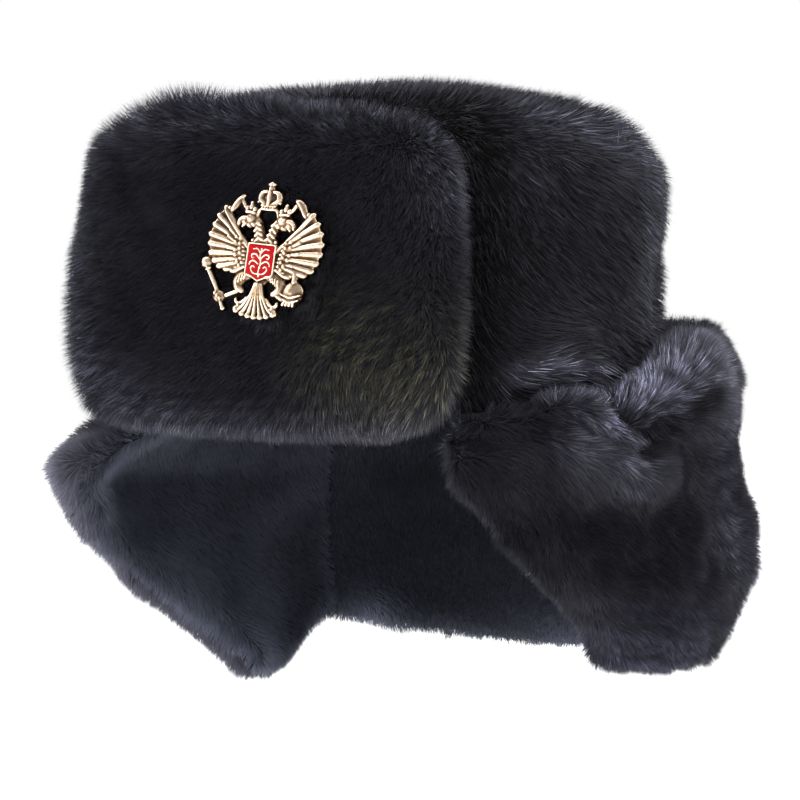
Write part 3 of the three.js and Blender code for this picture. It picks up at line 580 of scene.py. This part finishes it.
def sample(mesh, normals, covered, count, random):
    """Places on the open faces of a body, evenly by area, with their smooth normals."""
    mesh.calc_loop_triangles()
    triangles = np.empty(len(mesh.loop_triangles) * 3, dtype=np.int64)
    mesh.loop_triangles.foreach_get("vertices", triangles)
    triangles = triangles.reshape(-1, 3)
    places, _ = vertex_arrays(mesh)
    corners = places[triangles]
    areas = np.linalg.norm(
        np.cross(corners[:, 1] - corners[:, 0], corners[:, 2] - corners[:, 0]), axis=1
    )
    open_share = 1 - covered[triangles].mean(axis=1)
    weights = areas * np.where(open_share > OPEN_ENOUGH, 1.0, 0.0)
    chosen = random.choice(len(triangles), size=count, p=weights / weights.sum())
    shares = random.dirichlet((1, 1, 1), size=count)
    where = np.einsum("ij,ijk->ik", shares, corners[chosen])
    facing = unit(np.einsum("ij,ijk->ik", shares, normals[triangles[chosen]]))
    return where, facing


def add_bake_map(mesh, roots):
    """A map for baking: each hair has a small patch of its own, placed by where it stands."""
    low = roots.min(axis=0)
    reach = roots.max(axis=0) - low
    turn = np.arctan2(roots[:, 0] - low[0] - reach[0] / 2, roots[:, 1] - low[1] - reach[1] / 2)
    patch = np.empty((len(roots), 3, 2))
    patch[:, :, 0] = (MAP_MARGIN + MAP_SPAN * (turn / math.tau + 0.5))[:, None]
    patch[:, :, 1] = (MAP_MARGIN + MAP_SPAN * (roots[:, 2] - low[2]) / reach[2])[:, None]
    patch[:, 1, 0] += MAP_PATCH
    patch[:, 2, 1] += MAP_PATCH
    layer = mesh.uv_layers.new(name="OFBake")
    layer.uv.foreach_set("vector", patch.ravel())


def hair_mesh(name, roots, tips, sides, width, tone):
    count = len(roots)
    corners = np.empty((count, 3, 3))
    corners[:, 0] = roots - sides * width[:, None] / 2
    corners[:, 1] = roots + sides * width[:, None] / 2
    corners[:, 2] = tips
    mesh = bpy.data.meshes.new(name)
    mesh.vertices.add(3 * count)
    mesh.vertices.foreach_set("co", corners.ravel())
    mesh.loops.add(3 * count)
    mesh.loops.foreach_set("vertex_index", np.arange(3 * count))
    mesh.polygons.add(count)
    mesh.polygons.foreach_set("loop_start", np.arange(0, 3 * count, 3))
    mesh.update(calc_edges=True)
    along = mesh.attributes.new("along", "FLOAT", "POINT")
    along.data.foreach_set("value", np.tile([0.0, 0.0, 1.0], count))
    add_painted_light(mesh, np.repeat(tone, 3, axis=0))
    add_bake_map(mesh, roots)
    return mesh


def fur(spec, body, covered):
    """The hairs of a soft piece, rooted in the open faces of its body."""
    random = np.random.default_rng(spec["seed"])
    _, normals = vertex_arrays(body.data)
    count = spec["hairs"]
    places, facing = sample(body.data, normals, covered, count, random)
    ways, flat, longer = brushed(spec["node"], places, combed(spec["node"], places))
    laid = unit(ways - facing * np.sum(ways * facing, axis=1, keepdims=True))
    lean = (spec["lean"] + flat)[:, None]
    locks = drift(places, LOCK_SIZE, spec["seed"] + 1)
    sweep = drift(places, SWEEP_SIZE, spec["seed"] + 2)
    jitter = random.normal(size=places.shape)
    unrest = spec["unrest"] * (LOCK_TURN * locks + SWEEP_TURN * sweep)
    heading = unit(facing + lean * laid + unrest + HAIR_TURN * jitter)
    lumps = drift(places, LUMP_SIZE, spec["seed"] + 3)[:, 0]
    length = spec["pile"] * MM * (1 + LUMP_GROWTH * spec["unrest"] * lumps + longer)
    length *= random.uniform(*HAIR_LENGTHS, len(places))
    roots = places - facing * ROOT_DEPTH
    tips = places + heading * length[:, None]
    sides = unit(np.cross(heading, random.normal(size=places.shape)))
    width = spec["width"] * MM * random.uniform(*HAIR_WIDTHS, len(places))
    # Painted highlights and painted shade, with painted glints in the highlights
    tone = painted_light_tones(spec["node"], places, painted_glints(places, spec["seed"] + 4))
    mesh = hair_mesh(spec["node"] + "_" + spec["slot"], roots, tips, sides, width, tone)
    return link(bpy.data.objects.new(mesh.name, mesh))


# Badge. Its pieces are drawn in millimetres from the front, x to the viewer's right and y up, from
# the middle of the shield, and stand on the visor's face at height 0. The eagle, the enamel and the
# scroll are each cast as one.

# How it sits on the visor: its turn, how far its upright axis slants aside for each millimetre up,
# and its middle
BADGE_LEAN = math.radians(-6)
BADGE_SLANT = 0.08
BADGE_MIDDLE = Vector((3.4, 0.0, 56.4)) * MM

# How much its skin is swelled, and the grain that each of its pieces is fused at
BADGE_SWELL = 0.12
CAST_GRAIN = 0.32
ENAMEL_GRAIN = 0.4
SCROLL_GRAIN = 0.28

# A point's height is set against the relief round it, levelled in so many rounds. The rest is how
# the difference shows as painted shade in hollows and painted highlights on high points.
LEVEL_ROUNDS = 18
LEVEL_SHARE = 0.45
LEVEL_GAIN = 2.2

# The shield: half its width, its top, the end of its straight sides, its tip and its face's height
SHIELD_HALF = 5.6
SHIELD_TOP = 6.0
SHIELD_SIDE = -4.6
SHIELD_TIP = -6.6
SHIELD_FACE = 2.9

# A bar: the steps from each of its points to the next, the sides of its rounded back and how full
# that is, and the reach and size of each section past its end, as shares of its half width
BAR_STEPS = 5
BAR_SIDES = 8
BAR_FULLNESS = 0.8
BAR_ENDS = ((0.55, 0.8), (0.9, 0.35))

# A boss: its sides and rings, how many rings a full quarter turn would have, and its rim's share of
# its height
BOSS_SIDES = 16
BOSS_RINGS = 7
BOSS_QUARTER = 6.4
BOSS_RIM = 0.35

# One wing's long feathers, from the top one round to the lowest: each one's tip, with its half width
FEATHER_TIPS = [
    (19.9, 18.2, 1.15),
    (22.4, 15.2, 1.2),
    (24.0, 11.8, 1.25),
    (25.0, 8.2, 1.3),
    (24.8, 4.7, 1.3),
    (23.9, 1.4, 1.3),
    (22.1, -1.4, 1.25),
    (19.6, -3.2, 1.2),
    (16.6, -4.1, 1.1),
    (13.4, -4.4, 1.0),
]

# Where the highest and the lowest long feather, short feather and scale start
FEATHER_ROOTS = ((10.4, 8.4), (7.2, -2.6))
COVERT_ROOTS = ((9.2, 7.4), (6.6, -2.4))
SCALE_ROOTS = ((9.0, 6.6), (6.8, -2.2))

# The short feathers over the long ones' roots, and the scales in each of two rows
COVERTS = 8
SCALES = 6


def lerp(first, second, share):
    return first + (second - first) * share


def between(first, second, share):
    """The point at that share of the way from first to second."""
    return (lerp(first[0], second[0], share), lerp(first[1], second[1], share))


def tip_near(place):
    """The long feather's tip whose number, from the top, is nearest to place."""
    return FEATHER_TIPS[min(round(place), len(FEATHER_TIPS) - 1)]


class Relief:
    """Rounded pieces of cast relief, gathered into one mesh."""

    def __init__(self):
        self.corners = []
        self.faces = []

    def add(self, corners, faces):
        start = len(self.corners)
        self.corners.extend(corners)
        self.faces.extend([start + index for index in face] for face in faces)

    def loft(self, rings):
        """A closed solid through rings of the same count, its first and last ring capped."""
        sides = len(rings[0])
        corners = [corner for ring in rings for corner in ring]
        faces = []
        for i in range(len(rings) - 1):
            for j in range(sides):
                k = (j + 1) % sides
                faces.append([i * sides + j, i * sides + k, (i + 1) * sides + k, (i + 1) * sides + j])
        faces.append(list(range(sides))[::-1])
        faces.append([(len(rings) - 1) * sides + j for j in range(sides)])
        self.add(corners, faces)

    def bar(self, points, height):
        """A bar with a rounded back through (x, y, half width), smooth along its way."""
        path = smooth_path(points)
        rings = []
        for i, (x, y, half) in enumerate(path):
            before = path[max(i - 1, 0)]
            after = path[min(i + 1, len(path) - 1)]
            length = math.hypot(after[0] - before[0], after[1] - before[1])
            across = (-(after[1] - before[1]) / length, (after[0] - before[0]) / length)
            rings.append(half_round((x, y), across, half, height))
        first = rounded_end(path[1], path[0], height)
        last = rounded_end(path[-2], path[-1], height)
        self.loft(first[::-1] + rings + last)

    def boss(self, x, y, wide, tall, height):
        """Half an egg that stands on the plate."""
        rings = [oval(x, y, wide, tall, 0.0)]
        for i in range(BOSS_RINGS):
            rise = math.pi / 2 * i / BOSS_QUARTER
            level = height * (BOSS_RIM + (1 - BOSS_RIM) * math.sin(rise))
            rings.append(oval(x, y, wide * math.cos(rise), tall * math.cos(rise), level))
        self.loft(rings)

    def plate(self, outline, height, low=0.0):
        """A flat plate with upright sides."""
        self.loft([[(x, y, level) for x, y in outline] for level in (low, height)])

    def bar_pair(self, points, height):
        """A bar and its mirror image, as in the other two pairs."""
        self.bar(points, height)
        self.bar([(-x, y, half) for x, y, half in points], height)

    def boss_pair(self, x, y, wide, tall, height):
        self.boss(x, y, wide, tall, height)
        self.boss(-x, y, wide, tall, height)

    def plate_pair(self, outline, height):
        self.plate(outline, height)
        self.plate([(-x, y) for x, y in outline], height)


def oval(x, y, wide, tall, level):
    """A level ring of points round (x, y)."""
    turns = [math.tau * j / BOSS_SIDES for j in range(BOSS_SIDES)]
    return [(x + wide * math.cos(turn), y + tall * math.sin(turn), level) for turn in turns]


def smooth_path(points):
    """Points on a smooth curve through the given ones."""
    made = []
    last = len(points) - 1
    for i in range(last):
        nearby = [points[max(i - 1, 0)], points[i], points[i + 1], points[min(i + 2, last)]]
        for step in range(BAR_STEPS):
            made.append(tuple(curve_value(*values, step / BAR_STEPS) for values in zip(*nearby)))
    made.append(tuple(points[-1]))
    return made


def curve_value(before, start, end, after, share):
    """A smooth curve's value between start and end, led in and out by the values next to them."""
    line = (end - before) * share
    bend = (2 * before - 5 * start + 4 * end - after) * share * share
    twist = (3 * start - before - 3 * end + after) * share * share * share
    return 0.5 * (2 * start + line + bend + twist)


def half_round(middle, across, half, height):
    """A section across a bar, from one foot over its back to the other."""
    ring = []
    for k in range(BAR_SIDES + 1):
        turn = math.pi * k / BAR_SIDES
        offset = half * math.cos(turn)
        place = (middle[0] + across[0] * offset, middle[1] + across[1] * offset)
        ring.append((*place, height * math.sin(turn) ** BAR_FULLNESS))
    return ring


def rounded_end(inner, end, height):
    """Two smaller sections past the end of a bar."""
    length = math.hypot(end[0] - inner[0], end[1] - inner[1])
    along = ((end[0] - inner[0]) / length, (end[1] - inner[1]) / length)
    across = (-along[1], along[0])
    rings = []
    for reach, share in BAR_ENDS:
        middle = (end[0] + along[0] * reach * end[2], end[1] + along[1] * reach * end[2])
        rings.append(half_round(middle, across, end[2] * share, height * lerp(1, share, 0.6)))
    return rings


def add_wings(relief):
    """The wings' plates, their long feathers, the short ones, the scales and the upper edge."""
    outline = [(4.5, 4.0), (9.4, 7.6), (16.0, 13.6)]
    outline += [(x * 0.99, y * 0.99) for x, y, _ in FEATHER_TIPS]
    outline += [(8.4, -4.6), (4.5, -3.6)]
    relief.plate_pair(outline, 2.1)
    for i, (tip_x, tip_y, half) in enumerate(FEATHER_TIPS):
        share = i / (len(FEATHER_TIPS) - 1)
        root = between(*FEATHER_ROOTS, share)
        x, y = between(root, (tip_x, tip_y), 0.55)
        middle = (x + 0.3, y + 0.7 * math.cos(math.pi * share), 1.2 * half)
        relief.bar_pair([(*root, 0.8), middle, (tip_x - 0.8, tip_y, 1.3 * half)], 2.8 + 0.25 * (i % 2))
    for i in range(COVERTS):
        share = i / (COVERTS - 1)
        root = between(*COVERT_ROOTS, share)
        end = between(root, tip_near(share * 8.4), 0.5 - 0.06 * share)
        relief.bar_pair([(*root, 0.8), (*end, 0.8)], 3.2 - 0.02 * i)
    for row, reach in enumerate((0.1, 0.24)):
        for i in range(SCALES):
            share = (i + 0.5 * row) / SCALES
            x, y = between(between(*SCALE_ROOTS, share), tip_near(share * 9), reach)
            relief.boss_pair(x, y, 0.95, 0.8, 3.7 - 0.15 * row)
    relief.bar_pair([(5.4, 3.4, 1.2), (9.4, 7.4, 1.15), (14.6, 12.4, 1.0), (19.0, 17.4, 0.9)], 3.0)


def add_heads(relief):
    relief.bar_pair([(1.6, 6.4, 2.5), (2.9, 10.2, 2.3), (4.2, 13.8, 2.1), (6.2, 15.6, 1.9)], 2.9)
    for i in range(4):
        y = 7.8 + 1.8 * i
        relief.bar_pair([(0.6 + 0.62 * i, y, 0.5), (2.1 + 0.62 * i, y + 0.9, 0.5)], 3.2)
        relief.bar_pair([(3.8 + 0.5 * i, y - 0.7, 0.5), (2.6 + 0.6 * i, y + 0.5, 0.5)], 3.2)
    relief.boss_pair(7.0, 15.2, 2.6, 2.2, 3.8)
    relief.boss_pair(5.6, 13.4, 1.6, 1.4, 3.4)
    relief.boss_pair(7.6, 12.9, 1.3, 1.2, 3.1)
    beak = [(8.8, 15.3, 1.4), (10.6, 15.2, 1.25), (11.9, 14.2, 0.95), (12.1, 12.6, 0.55)]
    relief.bar_pair(beak, 3.3)
    relief.bar_pair([(8.6, 13.6, 0.9), (9.9, 12.8, 0.75), (10.6, 12.0, 0.45)], 2.9)
    relief.boss_pair(9.8, 14.0, 1.9, 1.5, 3.1)
    relief.boss_pair(7.4, 13.2, 2.2, 1.8, 3.0)
    relief.boss_pair(8.0, 15.8, 0.55, 0.55, 4.3)
    relief.bar_pair([(5.6, 17.3, 0.7), (7.5, 17.6, 0.7), (9.3, 17.5, 0.7)], 3.4)
    for x, y in ((5.9, 18.6), (7.6, 19.4), (9.3, 18.8)):
        relief.boss_pair(x, y, 1.05, 1.3, 3.2)
    relief.boss_pair(7.7, 20.9, 0.7, 0.8, 2.8)


def add_ribbons(relief):
    relief.bar_pair([(3.0, 19.4, 0.8), (4.2, 18.0, 0.85), (4.7, 16.2, 0.8)], 2.7)
    band = [(9.0, 18.0, 0.6), (10.3, 19.0, 0.75), (11.4, 20.6, 0.85), (12.4, 22.2, 1.0)]
    relief.bar_pair(band, 2.7)
    end = [(12.0, 22.8, 1.3), (13.9, 21.2, 1.8), (15.4, 18.9, 1.55), (16.2, 17.8, 1.1)]
    relief.bar_pair(end, 3.0)
    relief.bar_pair([(12.0, 22.9, 0.4), (14.0, 21.1, 0.4), (15.6, 18.7, 0.4)], 3.5)
    relief.boss_pair(17.4, 18.4, 1.1, 1.0, 2.7)


def add_middle_crown(relief):
    relief.boss(0, 22.5, 4.6, 3.4, 2.6)
    for y in (18.9, 20.2):
        relief.bar([(-3.1, y + 0.15, 0.5), (0, y, 0.5), (3.1, y + 0.15, 0.5)], 3.5)
    for i in range(-2, 3):
        relief.boss(1.15 * i, 19.5, 0.42, 0.42, 3.7)
    relief.bar_pair([(1.2, 20.8, 1.0), (3.9, 22.4, 1.5), (3.5, 24.8, 1.2), (1.5, 25.4, 0.9)], 3.3)
    relief.bar([(0, 20.6, 0.8), (0, 23.0, 1.2), (0, 25.4, 0.9)], 3.8)
    for i in range(4):
        relief.boss_pair(4.8 - 0.3 * i, 21.4 + 1.2 * i, 0.5, 0.5, 3.1)
    relief.boss(0, 26.5, 1.3, 1.3, 3.3)
    relief.bar([(0, 26.8, 0.8), (0, 28.5, 0.8)], 3.0)
    relief.bar([(-1.1, 28.0, 0.7), (1.1, 28.0, 0.7)], 3.0)


def add_legs(relief):
    relief.boss(0, -7.4, 2.7, 2.6, 2.4)
    thigh = [(3.2, -5.0, 1.7), (7.0, -5.9, 2.6), (9.3, -7.8, 2.7), (8.9, -10.2, 2.1), (7.2, -11.2, 1.4)]
    relief.bar_pair(thigh, 3.2)
    for i in range(4):
        tuft = [(5.4 + 1.2 * i, -5.0 - 0.4 * i, 0.4), (6.2 + 1.1 * i, -7.0 - 0.6 * i, 0.35)]
        relief.bar_pair(tuft, 3.6)
    relief.bar_pair([(7.4, -11.0, 1.1), (10.4, -12.3, 1.1), (13.6, -13.7, 1.1)], 2.9)


def add_sceptre(relief):
    relief.bar([(-24.8, -3.0, 0.8), (-21.6, -7.4, 1.0), (-18.2, -12.2, 0.95), (-14.8, -18.2, 0.8)], 2.7)
    relief.boss(-25.0, -2.4, 2.3, 2.4, 3.0)
    for x, y in ((-26.0, -1.4), (-24.2, -1.0), (-25.9, -3.6)):
        relief.boss(x, y, 0.75, 0.75, 2.7)
    relief.bar([(-24.3, -5.2, 0.4), (-22.6, -4.2, 0.4)], 2.7)
    relief.boss(-17.2, -14.4, 2.7, 2.4, 3.1)
    for i in range(3):
        relief.boss(-18.4 + 1.2 * i, -13.2 - 0.9 * i, 0.75, 0.9, 3.6)
    relief.boss(-14.6, -18.6, 1.0, 1.0, 2.8)


def add_orb(relief):
    relief.boss(15.4, -10.0, 4.5, 4.4, 3.7)
    relief.bar([(11.2, -10.6, 0.4), (15.4, -11.6, 0.45), (19.6, -10.4, 0.4)], 4.1)
    relief.bar([(11.9, -12.4, 0.4), (15.4, -13.3, 0.4), (18.9, -12.2, 0.4)], 3.6)
    relief.bar([(15.6, -6.2, 1.5), (15.6, -4.9, 1.1), (15.6, -3.2, 1.2)], 3.3)
    for i in range(4):
        relief.bar([(12.2 + 1.5 * i, -14.6, 0.7), (13.2 + 1.2 * i, -13.2, 0.55)], 3.5)


def add_tail(relief):
    relief.plate([(-1.8, -8.0), (-3.4, -13.0), (-8.0, -18.4), (8.0, -18.4), (3.4, -13.0), (1.8, -8.0)], 1.9)
    for i in range(-3, 4):
        share = abs(i) / 3
        low = -20.0 + 1.6 * share * share
        relief.bar(
            [(0.45 * i, -8.0, 0.7), (0.95 * i, -12.6, 0.65), (1.95 * i, -17.0, 0.85), (2.75 * i, low, 1.2)],
            3.0 - 0.2 * share,
        )
        relief.boss(2.75 * i, low - 0.3, 1.35, 1.2, 3.2)
    relief.bar_pair([(4.2, -13.4, 0.7), (6.6, -15.6, 0.8), (8.8, -15.6, 0.8), (9.2, -14.4, 0.6)], 2.5)
    relief.bar_pair([(6.4, -17.0, 0.6), (8.6, -17.4, 0.8), (9.4, -18.6, 0.6)], 2.7)
    relief.boss_pair(7.6, -16.4, 0.7, 0.7, 3.1)


def shield_outline(grown):
    return [
        (-SHIELD_HALF - grown, SHIELD_TOP + grown),
        (-SHIELD_HALF - grown, SHIELD_SIDE - 0.5 * grown),
        (-0.45 * SHIELD_HALF, SHIELD_SIDE - 0.9 - grown),
        (0.0, SHIELD_TIP - grown),
        (0.45 * SHIELD_HALF, SHIELD_SIDE - 0.9 - grown),
        (SHIELD_HALF + grown, SHIELD_SIDE - 0.5 * grown),
        (SHIELD_HALF + grown, SHIELD_TOP + grown),
    ]


def add_chest(relief):
    relief.boss(0, 0.4, 8.2, 8.4, 2.3)
    relief.plate(shield_outline(0.7), SHIELD_FACE - 0.3)
    for i in range(6):
        relief.boss_pair(7.5, 5.2 - 2.0 * i, 0.8, 0.9, 2.7)
    for i in range(5):
        relief.boss(-5.0 + 2.5 * i, 7.5, 0.9, 0.8, 2.9)
    outline = shield_outline(0.35)
    for i, (x, y) in enumerate(outline):
        next_x, next_y = outline[(i + 1) % len(outline)]
        relief.bar([(x, y, 0.34), (next_x, next_y, 0.34)], SHIELD_FACE + 0.75)


def painted_relief_light(mesh, heights):
    """How far each vertex stands above the relief round it: 0 in a hollow, 1 on a high point."""
    edges = np.empty(2 * len(mesh.edges), dtype=np.int64)
    mesh.edges.foreach_get("vertices", edges)
    first, second = edges.reshape(-1, 2).T
    neighbours = np.bincount(edges, minlength=len(heights))
    level = heights.copy()
    for _ in range(LEVEL_ROUNDS):
        total = np.bincount(first, weights=level[second], minlength=len(level))
        total += np.bincount(second, weights=level[first], minlength=len(level))
        level = 0.5 * level + 0.5 * total / neighbours
    # Hollows go dark as painted shade and high points pale as painted highlights in the gold
    share = np.clip(LEVEL_SHARE + (heights - level) * LEVEL_GAIN, 0, 1)
    stored = mesh.attributes.new("height", "FLOAT", "POINT")
    stored.data.foreach_set("value", share)


def relief_object(name, relief, grain):
    """The relief fused into one skin, set on the visor's face at its slant and lean."""
    mesh = bpy.data.meshes.new(name)
    mesh.from_pydata(relief.corners, [], relief.faces)
    fused = fused_copy(mesh, grain, 1)
    places, normals = vertex_arrays(fused)
    painted_relief_light(fused, places[:, 2])
    places += BADGE_SWELL * normals
    places[:, 0] += BADGE_SLANT * places[:, 1]
    turned = np.empty_like(places)
    turned[:, 0] = places[:, 0] * math.cos(BADGE_LEAN) - places[:, 1] * math.sin(BADGE_LEAN)
    turned[:, 2] = places[:, 0] * math.sin(BADGE_LEAN) + places[:, 1] * math.cos(BADGE_LEAN)
    turned[:, 1] = -places[:, 2]
    turned = turned * MM + np.array(BADGE_MIDDLE) + np.array((0, badge_back(), 0))
    fused.vertices.foreach_set("co", turned.ravel())
    fused.flip_normals()
    fused.update()
    shade_smooth(fused)
    return link(bpy.data.objects.new(name, fused))


def badge_back():
    """The depth of the badge's back, on the visor's face."""
    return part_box("badge_eagle")[1].y


def badge_cast():
    relief = Relief()
    for add in (add_wings, add_heads, add_ribbons, add_middle_crown, add_legs, add_sceptre, add_orb,
                add_tail, add_chest):
        add(relief)
    return relief_object("eagle_cast", relief, CAST_GRAIN)


def badge_enamel():
    relief = Relief()
    relief.plate(shield_outline(0.1), SHIELD_FACE + 0.3, low=SHIELD_FACE - 0.5)
    return relief_object("shield_enamel", relief, ENAMEL_GRAIN)


def badge_scroll():
    """A scroll of leaves on the red shield."""
    relief = Relief()
    top = SHIELD_FACE + 0.75
    stem = [(0.3, -5.6, 0.3), (0.0, -3.2, 0.34), (0.5, -0.6, 0.34), (0.0, 2.0, 0.34), (0.2, 4.4, 0.3)]
    relief.bar(stem, top)
    leaves = [
        [(0.2, -4.6, 0.3), (2.4, -4.2, 0.4), (3.6, -2.6, 0.36), (2.6, -1.6, 0.3), (1.8, -2.4, 0.26)],
        [(0.4, -1.0, 0.3), (2.6, 0.2, 0.42), (4.2, -0.4, 0.34), (4.4, -1.6, 0.24)],
        [(0.3, 1.0, 0.3), (2.0, 2.6, 0.42), (3.8, 2.4, 0.36), (3.6, 1.2, 0.28), (2.6, 1.4, 0.24)],
        [(0.2, 3.2, 0.26), (1.6, 4.6, 0.34), (3.6, 4.4, 0.28)],
    ]
    for side in (-1, 1):
        for leaf in leaves:
            relief.bar([(x * side, y, half) for x, y, half in leaf], top)
    relief.boss(0.2, 4.7, 0.7, 0.6, top + 0.1)
    relief.boss(0.2, -2.0, 0.6, 0.6, top + 0.1)
    return relief_object("shield_scroll", relief, SCROLL_GRAIN)


# Camera, floor and light


def add_camera():
    data = bpy.data.cameras.new("camera")
    data.lens = CAMERA_LENS
    data.sensor_width = CAMERA_SENSOR
    camera = link(bpy.data.objects.new("camera", data))
    camera.location = CAMERA_PLACE
    camera.rotation_euler = (CAMERA_TARGET - CAMERA_PLACE).to_track_quat("-Z", "Y").to_euler()
    bpy.context.scene.camera = camera


def add_floor():
    mesh = bpy.data.meshes.new("floor")
    corners = []
    for i in range(FLOOR_SIDES):
        turn = math.tau * i / FLOOR_SIDES
        corners.append((FLOOR_RADIUS * math.cos(turn), FLOOR_RADIUS * math.sin(turn), FLOOR_HEIGHT))
    mesh.from_pydata(corners, [], [list(range(FLOOR_SIDES))])
    floor = link(bpy.data.objects.new("floor", mesh))
    material, _, shader = new_material("pale_floor")
    shader.inputs["Base Color"].default_value = (0.95, 0.95, 0.95, 1)
    shader.inputs["Emission Color"].default_value = (1, 1, 1, 1)
    shader.inputs["Emission Strength"].default_value = 0.3
    shader.inputs["Roughness"].default_value = 1.0
    shader.inputs["Specular IOR Level"].default_value = 0.0
    mesh.materials.append(material)


def add_softbox(box):
    data = bpy.data.lights.new(box["name"], "AREA")
    data.shape = "RECTANGLE"
    data.size, data.size_y = box["size"]
    data.energy = box["watts"]
    lamp = link(bpy.data.objects.new(box["name"], data))
    lamp.location = box["place"]
    lamp.rotation_euler = (Vector(box["aim"]) - lamp.location).to_track_quat("-Z", "Y").to_euler()


def add_light():
    world = bpy.data.worlds.new("studio")
    world.use_nodes = True
    background = world.node_tree.nodes["Background"]
    background.inputs["Color"].default_value = (1.0, 1.0, 1.0, 1)
    background.inputs["Strength"].default_value = 1.0
    bpy.context.scene.world = world
    for box in SOFTBOXES:
        add_softbox(box)


bpy.context.scene.view_settings.view_transform = "Standard"
add_camera()
add_floor()
add_light()

# Roots darker than tips, and dark backings, as painted shade deep in the pile between the hairs
PILES = {
    "fur": pile_material("fur_pile", root=(0.0105, 0.0105, 0.0135), tip=(0.0235, 0.0235, 0.031)),
    "fleece": pile_material("fleece_pile", root=(0.038, 0.041, 0.055), tip=(0.1, 0.108, 0.147)),
}
HIDES = {
    "fur": hide_material("fur_backing", (0.0105, 0.0105, 0.0135)),
    "fleece": hide_material("fleece_backing", (0.024, 0.026, 0.036)),
}

for spec in SOFT:
    body, covered = soft_body(spec)
    body.data.materials.clear()
    body.data.materials.append(HIDES[spec["slot"]])
    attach(body, "root")
    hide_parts(spec["node"])
    pile = fur(spec, body, covered)
    pile.data.materials.append(PILES[spec["slot"]])
    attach(pile, "root")

gold = gold_material()
for piece, slot, material, node in (
    (badge_cast(), "gold", gold, "badge_eagle"),
    (badge_enamel(), "enamel", enamel_material(), "badge_shield"),
    (badge_scroll(), "gold", gold, None),
):
    piece.data.materials.clear()
    piece.data.materials.append(material)
    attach(piece, "root")
    if node:
        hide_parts(node)
pin_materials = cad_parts["badge_pin"].data.materials
pin_materials.clear()
pin_materials.append(gold)

bpy.context.view_layer.update()
